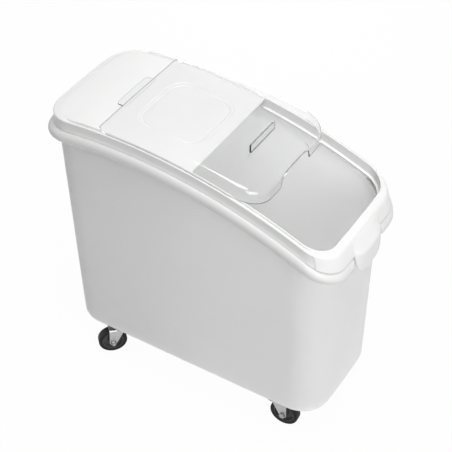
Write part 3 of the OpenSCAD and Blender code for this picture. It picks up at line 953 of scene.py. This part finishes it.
@dataclass
class TopFrame:
    """Frame over the tub's rim: tracks, collar, band and tab in one ring, with the deck."""

    skirt_h: float = 20.0
    ledge_w: float = 5.5
    ledge_t: float = 3.0
    recess: float = 2.3
    recess_front: float = 302.0
    flare: float = 3.0
    flare_l: float = 3.0
    collar: float = 27.0
    rear: float = 17.0
    fade_front: tuple[float, float] = (-297.0, -321.0)
    fade_rear: tuple[float, float] = (283.0, 300.0)
    tab_hw: float = 57.0
    tab_face: float = -369.0
    tab_t: float = 3.6
    tab_z: float = 486.0
    deck_front: float = 22.0
    deck_t: float = 4.0
    deck_h: float = 0.7
    panel: tuple[float, float, float, float] = (92.0, 2.0, 168.0, 46.0)
    panel_t: float = 2.2
    panel_slope: float = 12.0
    panel_lines: tuple[tuple[float, float], ...] = (
        (0.0, 0.0), (0.12, 1.2), (0.26, 0.7), (0.74, 1.8), (0.87, 3.0))
    panel_core: tuple[float, float] = (34.0, 12.0)
    deck_lap: float = 1.2

    def profile(self) -> list[FrameRow]:
        """Corners of the frame's profile, from the foot of its face over the top and back inside.

        Returns:
            The corners.
        """
        c, r = self.collar, self.rear
        go, gi, lo = MOUTH.groove_out, MOUTH.rail, MOUTH.lip_out
        gh, rh, bh, wh = MOUTH.groove_h, MOUTH.rail_h, MOUTH.band_h, MOUTH.web_h
        foot = -self.skirt_h - self.ledge_t
        face, back = self.tab_face, self.tab_face + self.tab_t
        low = float(RIM.z(np.array(-MOUTH.front - c), -bh))
        side = lo - self.recess
        ledge = (-self.ledge_w,) * 3
        return [
            FrameRow((go + 3.5, c, r), (-bh,), self.flare, (face, self.tab_z, 1, 1), 1.2),
            FrameRow((side, c - 2, r - 0.4), (6 - bh,), self.recess + 1.4, (face, low - 4, 1, 1.6), 5.0),
            FrameRow((side, c - 5, r - 0.8), (-15,), self.recess + 0.8, (face + 8.5, low + 9, 1, 2.2), 4.0),
            FrameRow((side, c - 8.5, r - 1), (-6,), self.recess, (face + 13, low + 24, 0.25, 3.0), 0.6),
            FrameRow((lo, c - 9.5, r - 0.5), (-4,)),
            FrameRow((lo, c - 11.5, r - 1), (-1.5, -1.2, -1.5), soft=1.5),
            FrameRow((lo - 1, c - 13.5, r - 2.4), (0, 0.2, 0), soft=1.5),
            FrameRow((go + 0.8, c - 17, r - 5), (-0.3, 1, 0.4), soft=1.0),
            FrameRow((go, 8.5, r - 8), (-gh, 1.3, 0.6), soft=0.5),
            FrameRow((gi, 5, 5), (-gh, rh - 0.6, 0.8), soft=0.5),
            FrameRow((gi - 0.2, 3.5, 3.5), (rh - 0.9, rh - 0.3, 0.9), soft=0.6),
            FrameRow((gi * 0.6, 2, 2), (rh, rh, 1), soft=0.6),
            FrameRow((gi * 0.25, 0.8, 0.8), (rh - 0.3, rh - 0.3, 1), soft=0.6),
            FrameRow((0, 0, 0), (rh - 1.3, rh - 1.3, 0.4), soft=0.6),
            FrameRow((0, 0, 0), (-self.skirt_h,), soft=0.6),
            FrameRow(ledge, (-self.skirt_h - 1,)),
            FrameRow(ledge, (foot - 1,)),
            FrameRow((gi, gi, gi), (foot - 1.5,)),
            FrameRow((gi, gi, gi), (-wh,)),
            FrameRow((go, c - 13, r - 5), (-wh,)),
            FrameRow((go, c - 8, r - 3.5), (8 - bh,), 0.0, (back, low - 4, 1, 1.6), 2.0),
            FrameRow((go, c - 4, r - 3), (-bh,), self.flare, (back, self.tab_z, 1, 1)),
        ]

    def row(self, st: Stations, corner: FrameRow) -> Array:
        """Row of points of one corner of the profile.

        Args:
            st: Stations of the row.
            corner: The corner.

        Returns:
            The row.
        """
        y = MOUTH.line(MOUTH.lip_out, self.collar / 2, self.rear).points(st)[1]
        share = ramp(-self.recess_front, -self.recess_front - self.flare_l, y)
        wide = MOUTH.line(corner.off[0] + corner.flare, *corner.off[1:])
        x, yy = MOUTH.line(*corner.off).blend(wide, st, share)
        h = np.full(len(x), float(corner.height[0]))
        if len(corner.height) > 1:
            h += (corner.height[1] - corner.height[0]) * ramp(*self.fade_front, y)
            h += (corner.height[2] - corner.height[0]) * ramp(*self.fade_rear, y)
        to_y, to_z, strength, fade = corner.pull
        t = np.where(st.at_front, strength * arch(x, self.tab_hw) ** fade, 0.0)
        return np.c_[x, mix(yy, to_y, t), mix(RIM.z(yy, h), to_z, t)]

    def deck_rows(self) -> Rows:
        """Rows of the deck from the middle of its underside, over its edge, to the floor of the embossed panel.

        Returns:
            The rows.
        """
        st = Stations.ring(np.linspace(0, 1, 10)[:-1], corner=14)
        lap = self.deck_lap
        edge = PlanLine(MOUTH.half_width + lap, -self.deck_front, MOUTH.rear + lap, 4.0,
                        MOUTH.rear_corner + lap)
        hw, front, rear, r = self.panel
        s = self.panel_slope
        core, core_r = self.panel_core
        outer = PlanLine(hw, front, rear, r, r)
        inner = PlanLine(hw - s, front + s, rear - s, r - s, r - s)
        low, high = self.deck_h - self.deck_t, self.deck_h
        rows = [RIM.ring(st, edge.toward(inner, t), low) for t in np.linspace(1, 0, 9)]
        top = [RIM.ring(st, edge, low), RIM.ring(st, edge, high)]
        top += [RIM.ring(st, edge.toward(outer, t), high) for t in (0.04, 0.2, 0.4, 0.6, 0.8, 0.93)]
        border = (*self.panel_lines, (1.0, self.panel_t))
        top += [RIM.ring(st, outer.toward(inner, t), high - drop) for t, drop in border]
        middle = PlanLine(hw - core, front + core, rear - core, core_r, core_r)
        top += [RIM.ring(st, inner.toward(middle, 0.4), high - self.panel_t)]
        return rows[:-1] + soften(top, [0.8, 1.2] + [0.0] * 6 + [0.3] * 6 + [0.0])

    def build(self) -> Object:
        """Makes the frame with its deck.

        Returns:
            The frame.
        """
        st = Stations.with_feature(self.tab_hw, MOUTH.half_width - MOUTH.corner, 44)
        corners = self.profile()
        ring = soften([self.row(st, c) for c in corners], [c.soft for c in corners], 3, loop=True)
        return Shell().skin(ring, loop=True).skin(self.deck_rows()).to_object("Top_frame_moulding")

    def dress(self, obj: Object) -> None:
        """Gives the frame its finish and its body."""
        settle(obj, FRAME_PLASTIC, "bin", "top_frame")


@dataclass
class SlidingLid:
    """Clear lid with its finger notch, upright grip and rear lip."""

    front: float = 181.0
    rear: float = 209.0
    crown_r: float = 950.0
    crown_top: float = 716.5
    crown_y: float = 74.0
    wall: float = 2.8
    front_r: float = 56.0
    rear_r: float = 14.0
    edge_r: float = 16.0
    notch_hw: float = 60.0
    grip_hw: float = 50.0
    grip_h: float = 19.0
    grip_t: float = 4.0
    grip_y: float = -101.0
    heel_hw: float = 58.0
    heel_l: float = 17.0
    gap: float = 0.6
    step: float = 10.0
    foot_rows: range = range(12, 17)

    def z(self, y: Array) -> Array:
        """Height of the crown curve."""
        return self.crown_top - self.crown_r + np.sqrt(self.crown_r ** 2 - (y - self.crown_y) ** 2)

    def line(self, inset: float) -> PlanLine:
        """Outline drawn in by an inset."""
        half_width = MOUTH.half_width + MOUTH.rail + self.gap + self.wall
        return PlanLine(half_width - inset, -self.front + inset, self.rear - inset, self.front_r - inset,
                        self.rear_r - inset)

    def low(self, st: Stations, x: Array, y: Array) -> Array:
        """Height of the lower edge: in the groove at the sides, over the rail elsewhere, raised at the notch.

        Args:
            st: The stations.
            x: Places across the bin.
            y: Places along it.

        Returns:
            The heights.
        """
        over = RIM.z(y, MOUTH.rail_h + self.gap)
        under = RIM.z(y, self.gap - MOUTH.groove_h)
        roof = np.maximum(over, self.z(y) - self.wall - 1)
        edge = np.where(st.at_front, mix(over, roof, arch(x, self.notch_hw)), over)
        dip = np.minimum(ramp(0.0, 0.04, st.along), ramp(1.0, 0.96, st.along))
        return mix(edge, under, dip)

    def foot(self, st: Stations, inset: float) -> Array:
        """Row of the lower edge."""
        x, y = self.line(inset).points(st)
        return np.c_[x, y, self.low(st, x, y)]

    def edge(self, st: Stations, inset: float, drop: float, radius: float, angle: float) -> Array:
        """Row of the rounded upper edge.

        Args:
            st: Stations of the row.
            inset: Distance in from the outside.
            drop: Distance below the crown curve.
            radius: Rounding of the edge.
            angle: Place on the rounding, 0 at its foot.

        Returns:
            The row.
        """
        line = self.line(inset)
        x, y = line.points(st)
        fall = np.minimum(radius, 0.6 * (self.z(y) - drop - self.low(st, x, y)))
        x, y = line.blend(self.line(inset + self.step), st, fall * (1 - math.cos(angle)) / self.step)
        return np.c_[x, y, self.z(y) - drop - fall * (1 - math.sin(angle))]

    def rows(self) -> Rows:
        """Rows from the middle of the inside, round the lower edge, to the middle of the top.

        Returns:
            The rows.
        """
        st = Stations.with_feature(self.notch_hw, self.line(0).half_width - self.front_r)
        inner_r = self.edge_r - self.wall
        under = [self.edge(st, self.wall, self.wall, inner_r, a) for a in np.radians(np.linspace(90, 0, 9))]
        upper = [self.edge(st, 0, 0, self.edge_r, a) for a in np.radians(np.linspace(0, 90, 11))]
        foot = [self.foot(st, self.wall), self.foot(st, 0)]
        middle = [self.inward(under[0], t, self.wall) for t in (0.7, 0.4, 0.15)]
        crown = [self.inward(upper[-1], t, 0.0) for t in (0.15, 0.4, 0.7)]
        mid = under[-1:] + foot + upper[:1]
        return middle + under[:-1] + soften(mid, [0, 0.7, 0.7, 0], 2) + upper[1:] + crown

    def inward(self, row: Array, t: float, drop: float) -> Array:
        """Row drawn in from the edge towards the middle line, on the crown curve.

        Args:
            row: Row at the edge.
            t: Share of the way in.
            drop: Distance below the crown curve.

        Returns:
            The row.
        """
        x = row[:, 0] * (1 - t)
        y = row[:, 1] + ((self.rear - self.front) / 2 - row[:, 1]) * t * 0.2
        return np.c_[x, y, self.z(y) - drop]

    def build(self) -> Object:
        """Makes the lid as one solid.

        Returns:
            The lid.
        """
        # The second finish is the darkened glass, painted dark lines on the lid's edges.
        finishes = (LID_PLASTIC.material(), LID_PAINTED_DARK_EDGE.material())
        lid = Shell().skin(self.rows(), edge=self.foot_rows).to_object("Clear_lid", finishes)
        face = round_rect(2 * self.grip_hw, self.grip_h + self.wall, 5)
        grip = Shell().prism(face, -self.grip_t / 2, self.grip_t / 2, 0.7)
        up = float(self.z(np.array(self.grip_y))) + self.grip_h / 2 - self.wall / 2
        grip.moved(Matrix.Translation((0, self.grip_y, up)) @ Matrix.Rotation(math.pi / 2, 4, "X"))
        st = Stations.ring(np.linspace(0, 1, 8)[:-1], corner=8, side=8)
        tongue = PlanLine(self.heel_hw, self.rear - 8, self.rear + self.heel_l, 3.0, 9.0)
        small = PlanLine(self.heel_hw - 0.6, self.rear - 7.4, self.rear + self.heel_l - 0.6, 2.4, 8.4)
        low = MOUTH.rail_h + self.gap + 0.3
        high = low + self.wall - 0.4
        levels = ((small, low), (tongue, low + 0.6), (tongue, high - 0.6), (small, high))
        heel = Shell().skin([RIM.ring(st, line, h) for line, h in levels], edge=range(3))
        union(lid, grip.to_object("grip", finishes), heel.to_object("heel", finishes))
        self.mark_seams(lid.data)
        return lid

    def mark_seams(self, mesh: bpy.types.Mesh) -> None:
        """Leaves the sides clear and gives the upright rear wall the darkened glass, a painted dark line where
        its seam shows.

        Args:
            mesh: Mesh of the lid.
        """
        side, rear = self.line(self.wall).half_width * MM - MM, (self.rear - self.wall) * MM
        for face in mesh.polygons:
            if abs(face.center.x) > side:
                face.material_index = 0
            elif abs(face.center.y - rear) < 4 * MM and abs(face.normal.y) > 0.8:
                face.material_index = 1

    def dress(self, obj: Object) -> None:
        """Gives the lid its finish and its body."""
        settle(obj, LID_PLASTIC, "lid", "sliding_lid")


class Corner(Enum):
    """The four casters: name, swivel axis in plan and rest angle in degrees."""

    FRONT_LEFT = ("front_left", -104.0, -211.0, -87.0)
    FRONT_RIGHT = ("front_right", 104.0, -211.0, -112.0)
    REAR_LEFT = ("rear_left", -104.0, 216.0, 134.5)
    REAR_RIGHT = ("rear_right", 104.0, 216.0, 96.0)

    @property
    def label(self) -> str:
        """Name of the corner."""
        return self.value[0]

    @property
    def pivot(self) -> tuple[float, float]:
        """Swivel axis in plan."""
        return self.value[1], self.value[2]

    def matrix(self, turned: bool) -> Matrix:
        """Place of the caster, turned to its rest angle or square to the bin."""
        at = Matrix.Translation((*self.pivot, 0))
        return at @ Matrix.Rotation(math.radians(self.value[3]), 4, "Z") if turned else at


def round_rect(w: float, l: float, r: float, steps: int = 6) -> Outline:
    """Points of a rounded rectangle about the middle, anticlockwise.

    Args:
        w: Width.
        l: Length.
        r: Radius of its corners.
        steps: Faces in each corner.

    Returns:
        The points.
    """
    out = []
    for k, (sx, sy) in enumerate(((1, 1), (-1, 1), (-1, -1), (1, -1))):
        for a in np.radians(np.linspace(90 * k, 90 * k + 90, steps + 1)):
            out.append((sx * (w / 2 - r) + r * math.cos(a), sy * (l / 2 - r) + r * math.sin(a)))
    return out


def hexagon(r: float) -> Outline:
    """Points of a hexagon."""
    return [(r * math.cos(math.radians(60 * k)), r * math.sin(math.radians(60 * k))) for k in range(6)]


def mirrored(near: Outline) -> Outline:
    """Profile of radius and height, closed by its mirror image below."""
    return near + [(r, -t) for r, t in reversed(near)]


@dataclass
class Caster:
    """Swivel caster: plate, screws, kingpin, balls, fork, axle, nut, bush, wheel core and tyre."""

    corner: Corner
    height: float = 88.0
    wheel_r: float = 35.0
    wheel_w: float = 22.0
    trail: float = 27.0
    sheet: float = 2.5
    fork_in: float = 13.3
    axle_r: float = 4.0
    cheek_r: float = 9.0
    plate: tuple[float, float, float] = (50.0, 74.0, 2.5)
    holes: tuple[float, float] = (36.0, 58.0)
    cheek_back: float = 40.0
    crown: tuple[float, float] = (-4.0, 8.0)

    @property
    def crown_z(self) -> float:
        """Underside of the fork's crown."""
        return 2 * self.wheel_r + 3

    @property
    def on_axle(self) -> Matrix:
        """Place of the axle, its own Z along the axle."""
        return Matrix.Translation((self.trail, 0, self.wheel_r)) @ Matrix.Rotation(math.pi / 2, 4, "X")

    def mounting_plate(self) -> Shell:
        """Pressed plate with its raised upper race.

        Returns:
            The piece.
        """
        top = self.height
        z = top - self.plate[2]
        race = [(4.6, z + 1), (21.2, z + 1), (22, z), (22, 79.8), (21.5, 79.3), (20.2, 79.3), (19.8, 79.8),
                (19.8, z - 1.0), (18.8, z - 0.2), (4.6, z - 0.2)]
        return Shell().prism(round_rect(*self.plate[:2], 7), z, top, 0.5).lathe(race)

    def screws(self) -> Shell:
        """Four flanged hexagon screws.

        Returns:
            The pieces.
        """
        z = self.height - self.plate[2]
        shank = [(5.2, z - 0.8), (5.2, z - 0.3), (4.6, z), (2.5, z), (2.5, z + 8), (0.3, z + 8.4),
                 (0.3, z - 1.6), (4.0, z - 1.6)]
        s = Shell()
        for x in (-0.5, 0.5):
            for y in (-0.5, 0.5):
                one = Shell().prism(hexagon(4.4), z - 3.2, z - 0.8, 0.35).lathe(shank, 24)
                one.moved(Matrix.Translation((x * self.holes[0], y * self.holes[1], 0)))
                s.add(np.vstack(one.points), one.faces)
        return s

    def fork(self) -> Shell:
        """Fork pressed from one sheet: dished crown with the lower race and two tapered cheeks.

        Returns:
            The piece.
        """
        half = self.fork_in + self.sheet / 2
        top = self.crown_z + self.sheet / 2
        bend, edge = 4.0, 0.5
        path = [(half, z) for z in (26.2, 26.6, 27.4, 28.4, 29.4, 31, 33, 35, 42, 50, 58, top - bend)]
        path += [(half - bend * (1 - math.cos(a)), top - bend * (1 - math.sin(a)))
                 for a in np.radians((18, 36, 54, 72, 90))]
        path += [(4.0, top)]
        path += [(-y, z) for y, z in reversed(path)]
        rows = []
        for k, (y, z) in enumerate(path):
            x0, x1 = self.sheet_span(z)
            ends = (path[max(0, k - 1)], path[min(len(path) - 1, k + 1)])
            d = np.array([ends[1][0] - ends[0][0], ends[1][1] - ends[0][1]])
            n = np.array([-d[1], d[0]]) / np.linalg.norm(d) * self.sheet / 2
            across = [(x0, 0.55), (x0 + edge, 1), (x1 - edge, 1), (x1, 0.55), (x1, -0.55), (x1 - edge, -1),
                      (x0 + edge, -1), (x0, -0.55)]
            rows.append(np.array([(x, y + n[0] * v, z + n[1] * v) for x, v in across]))
        m, n = len(rows), len(rows[0])
        ends = [tuple(range(n)), tuple(reversed(range((m - 1) * n, m * n)))]
        z = self.crown_z
        race = [(4.6, z), (20.5, z), (22, z + 0.8), (22, z + 1.9), (21.4, z + 2.5), (19, z + 2.5),
                (18.6, z + 3.4), (13.4, z + 3.4), (13, z + 2.5), (4.6, z + 2.5)]
        return Shell().add(np.vstack(rows), quads(m, n) + ends).lathe(race)

    def sheet_span(self, z: float) -> tuple[float, float]:
        """Rear and front edge of the fork's sheet at a height.

        Args:
            z: The height.

        Returns:
            Both edges along the trail.
        """
        r, x, axle = self.cheek_r, self.trail, self.wheel_r
        top = self.crown_z + 1
        lean = math.radians(self.cheek_back)
        foot = (x - r * math.cos(lean), axle - r * math.sin(lean))
        low = math.sqrt(max(0.0, r * r - (z - axle) ** 2)) if z < axle else r
        back = mix(foot[0], self.crown[0], (z - foot[1]) / (top - foot[1])) if z > foot[1] else x - low
        ahead = mix(x + r, x + self.crown[1], (z - axle) / (top - axle)) if z > axle else x + low
        return min(back, ahead - 1.5), min(ahead, x + r)

    def kingpin(self) -> Shell:
        """Rivet with a rounded head below the crown.

        Returns:
            The piece.
        """
        z, end = self.crown_z - 0.3, self.height - 0.3
        rivet = [(0.4, z - 3), (5.5, z - 2.9), (7.2, z - 2.3), (8, z - 1.2), (8, z - 0.2), (7.8, z), (4.5, z),
                 (4.5, self.height - 0.8), (4.0, end), (0.4, end)]
        return Shell().lathe(rivet, 40)

    def axle(self) -> Shell:
        """Axle bolt with a chamfered hexagon head.

        Returns:
            The piece.
        """
        out, r = self.fork_in + self.sheet, self.axle_r
        shank = [(7.2, out), (7.4, out + 0.3), (7.2, out + 0.7), (0.4, out + 0.9), (0.4, -out - 8.5),
                 (r - 0.8, -out - 8.5), (r, -out - 7.7), (r, out)]
        return Shell().prism(hexagon(7.0), out + 0.6, out + 5.0, 0.6).lathe(shank, 40).moved(self.on_axle)

    def nut(self) -> Shell:
        """Lock nut with its round collar.

        Returns:
            The piece.
        """
        out, r = self.fork_in + self.sheet, self.axle_r + 0.05
        face = [(r, -out), (6.6, -out), (6.8, -out - 0.5), (r, -out - 0.7)]
        collar = [(r, -out - 4.6), (5.6, -out - 4.6), (5.6, -out - 6.3), (5.2, -out - 6.9), (4.7, -out - 7.0),
                  (r, -out - 6.6)]
        s = Shell().prism(hexagon(7.0), -out - 5.0, -out - 0.5, 0.6)
        return s.lathe(face, 40).lathe(collar, 40).moved(self.on_axle)

    def bush(self) -> Shell:
        """Plain bush between the cheeks.

        Returns:
            The piece.
        """
        h, r = self.fork_in - 0.1, self.axle_r
        tube = [(r + 0.05, -h), (r + 1.6, -h), (r + 2, -h + 0.4), (r + 2, h - 0.4), (r + 1.6, h), (r + 0.05, h)]
        return Shell().lathe(tube, 40).moved(self.on_axle)

    def core(self) -> Shell:
        """Wheel core: hub, web with two raised rings, and rim.

        Returns:
            The piece.
        """
        bore, hub = self.axle_r + 2.05, self.axle_r + 6
        out = self.wheel_r - 8.7
        h, rim, web = self.fork_in - 1.2, self.wheel_w / 2 - 1.5, 3.5
        near = [(bore, h), (hub - 0.6, h), (hub, h - 0.6), (hub + 0.8, web + 0.8), (hub + 1.6, web),
                (hub + 3.4, web), (hub + 3.9, web + 0.5), (hub + 5.2, web + 0.5), (hub + 5.7, web),
                (out - 4.6, web), (out - 3.9, web + 0.7), (out - 3.2, rim - 0.5), (out - 2.7, rim), (out, rim)]
        return Shell().lathe(mirrored(near), 72).moved(self.on_axle)

    def tyre(self) -> Shell:
        """Rubber tyre with stepped sides and a rounded tread.

        Returns:
            The piece.
        """
        w, r, out = self.wheel_w / 2, self.wheel_r - 8.65, self.wheel_r
        near = [(r, w - 0.6), (r + 0.6, w), (out - 5.4, w), (out - 5.0, w - 0.4), (out - 4.9, w - 0.9)]
        near += [(out - 3.4 + 3.4 * math.sin(a), w - 4.3 + 3.4 * math.cos(a))
                 for a in np.radians(np.linspace(0, 84, 8))]
        near += [(out, w - 5.2)]
        return Shell().lathe(mirrored(near), 96).moved(self.on_axle)

    def build(self) -> dict[str, Object]:
        """Makes the pieces, those on the fork turned to the rest angle.

        Returns:
            The pieces by the last word of their nodes.
        """
        fixed = {"plate": self.mounting_plate(), "screws": self.screws(), "kingpin": self.kingpin()}
        turned = {"fork": self.fork(), "axle": self.axle(), "nut": self.nut(), "bush": self.bush(),
                  "core": self.core(), "tyre": self.tyre()}
        made = {}
        for shells, turn in ((fixed, False), (turned, True)):
            for piece, shell in shells.items():
                shell.moved(self.corner.matrix(turn))
                made[piece] = shell.to_object(f"Caster_{self.corner.label}_{piece}")
        return made

    def dress(self, made: dict[str, Object]) -> None:
        """Gives the pieces their finishes and bodies, and the frame's own balls their finish.

        Args:
            made: The pieces by the last word of their nodes.
        """
        name = self.corner.label
        swivel, wheel = f"{name}_swivel", f"{name}_wheel"
        looks = {"plate": (ZINC_SHEET, "bin"), "screws": (ZINC_STEEL, "bin"), "kingpin": (ZINC_STEEL, "bin"),
                 "fork": (ZINC_SHEET, swivel), "axle": (ZINC_STEEL, swivel), "nut": (ZINC_STEEL, swivel),
                 "bush": (PLAIN_STEEL, swivel), "core": (CORE_PLASTIC, wheel), "tyre": (TYRE_RUBBER, wheel)}
        for piece, (finish, body) in looks.items():
            settle(made[piece], finish, body, f"{name}_{piece}")
        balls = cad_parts[f"{name}_balls"]
        balls.data.materials.clear()
        balls.data.materials.append(BALL_STEEL.material())
        LOG.info("%s: kept from the frame", balls.name)


@dataclass(frozen=True)
class Lamp:
    """Soft square lamp: its place, aim and size in metres and its power in watts."""

    name: str
    place: Point
    aim: Point
    size: float
    power: float

    def build(self) -> None:
        """Hangs the lamp."""
        data = bpy.data.lights.new(self.name, "AREA")
        data.shape = "SQUARE"
        data.size = self.size
        data.energy = self.power
        obj = bpy.data.objects.new(self.name, data)
        way = Vector(self.aim) - Vector(self.place)
        obj.matrix_world = Matrix.Translation(self.place) @ way.to_track_quat("-Z", "Y").to_matrix().to_4x4()
        bpy.context.scene.collection.objects.link(obj)


@dataclass
class Studio:
    """Pale floor, soft lamps, white surroundings and the camera of the photograph."""

    azimuth: float = -58.70
    elevation: float = 41.48
    roll: float = 0.15
    focal_px: float = 1295.3
    image_px: float = 452.0
    sensor_mm: float = 36.0
    target: Point = (4.73, -10.74, 418.21)
    distance: float = 2899.5
    sky: float = 0.43
    floor_half: float = 9.0
    floor_tone: float = 0.6
    floor_white: float = 0.97
    lamps: tuple[Lamp, ...] = (
        Lamp("Front_softbox", (-1.64, -2.72, 1.9), (0.0, 0.0, 0.5), 2.2, 68.0),
        Lamp("Top_softbox", (-0.35, -0.3, 3.1), (0.0, 0.0, 0.5), 1.4, 45.0),
        Lamp("Side_fill", (1.7, 0.8, 0.9), (0.0, 0.1, 0.45), 1.0, 14.0),
    )

    def seen(self, board: NodeBoard) -> Socket:
        """1 for rays that show the background: from the camera, a gloss or clear plastic.

        Args:
            board: Board of the material or the world.

        Returns:
            The value.
        """
        path = board.add("ShaderNodeLightPath").outputs
        either = board.math("MAXIMUM", path["Is Camera Ray"], path["Is Glossy Ray"])
        either = board.math("MAXIMUM", either, path["Is Transmission Ray"])
        return board.math("MULTIPLY", either, board.math("LESS_THAN", path["Diffuse Depth"], 0.5))

    def floor(self) -> None:
        """Lays the floor, white with the object's soft shadow."""
        mesh = bpy.data.meshes.new("Floor")
        h = self.floor_half
        mesh.from_pydata([(-h, -h, 0), (h, -h, 0), (h, h, 0), (-h, h, 0)], [], [(0, 1, 2, 3)])
        obj = bpy.data.objects.new("Floor", mesh)
        bpy.context.scene.collection.objects.link(obj)
        material = bpy.data.materials.new("studio_floor")
        material.use_nodes = True
        board = NodeBoard(material.node_tree)
        matt = board.add("ShaderNodeBsdfDiffuse", Color=rgba((self.floor_tone,) * 3))
        glow = board.add("ShaderNodeEmission", Color=WHITE, Strength=1.0)
        share = board.math("MULTIPLY", self.seen(board), self.floor_white)
        both = board.add("ShaderNodeMixShader", i0=share, i1=matt.outputs[0], i2=glow.outputs[0])
        board.add("ShaderNodeOutputMaterial", Surface=both.outputs[0])
        mesh.materials.append(material)

    def world(self) -> None:
        """White surroundings where they are seen, a plain level of light elsewhere."""
        world = bpy.data.worlds.new("studio")
        bpy.context.scene.world = world
        world.use_nodes = True
        board = NodeBoard(world.node_tree)
        level = board.span(self.seen(board), 0.0, 1.0, self.sky, 1.0)
        back = board.add("ShaderNodeBackground", Color=WHITE, Strength=level)
        board.add("ShaderNodeOutputWorld", Surface=back.outputs[0])

    def camera(self) -> None:
        """Sets the camera up where the photograph was taken from."""
        a, e, r = (math.radians(v) for v in (self.azimuth, self.elevation, self.roll))
        back = Vector((math.sin(a) * math.cos(e), -math.cos(a) * math.cos(e), math.sin(e)))
        right = Vector((math.cos(a), math.sin(a), 0.0))
        up = back.cross(right)
        turned = right * math.cos(r) + up * math.sin(r)
        risen = up * math.cos(r) - right * math.sin(r)
        place = (Vector(self.target) + back * self.distance) * MM
        data = bpy.data.cameras.new("Camera")
        data.sensor_width = self.sensor_mm
        data.lens = self.focal_px / self.image_px * self.sensor_mm
        obj = bpy.data.objects.new("Camera", data)
        obj.matrix_world = Matrix.Translation(place) @ Matrix((turned, risen, back)).transposed().to_4x4()
        bpy.context.scene.collection.objects.link(obj)
        bpy.context.scene.camera = obj

    def build(self) -> None:
        """Sets the whole studio up."""
        bpy.context.scene.view_settings.view_transform = "Standard"
        self.floor()
        self.world()
        for lamp in self.lamps:
            lamp.build()
        self.camera()


def plain(box: tuple) -> list[list[float]]:
    """A box as plain lists of numbers."""
    return [[float(v) for v in corner] for corner in box]


def main() -> None:
    """Builds the bin piece by piece, then the studio."""
    logging.basicConfig(level=logging.INFO, format="%(name)s: %(message)s")
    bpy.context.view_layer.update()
    for part in (Tub(), TopFrame(), SlidingLid(), *(Caster(corner) for corner in Corner)):
        part.dress(part.build())
    Studio().build()


if __name__ == "__main__":
    main()
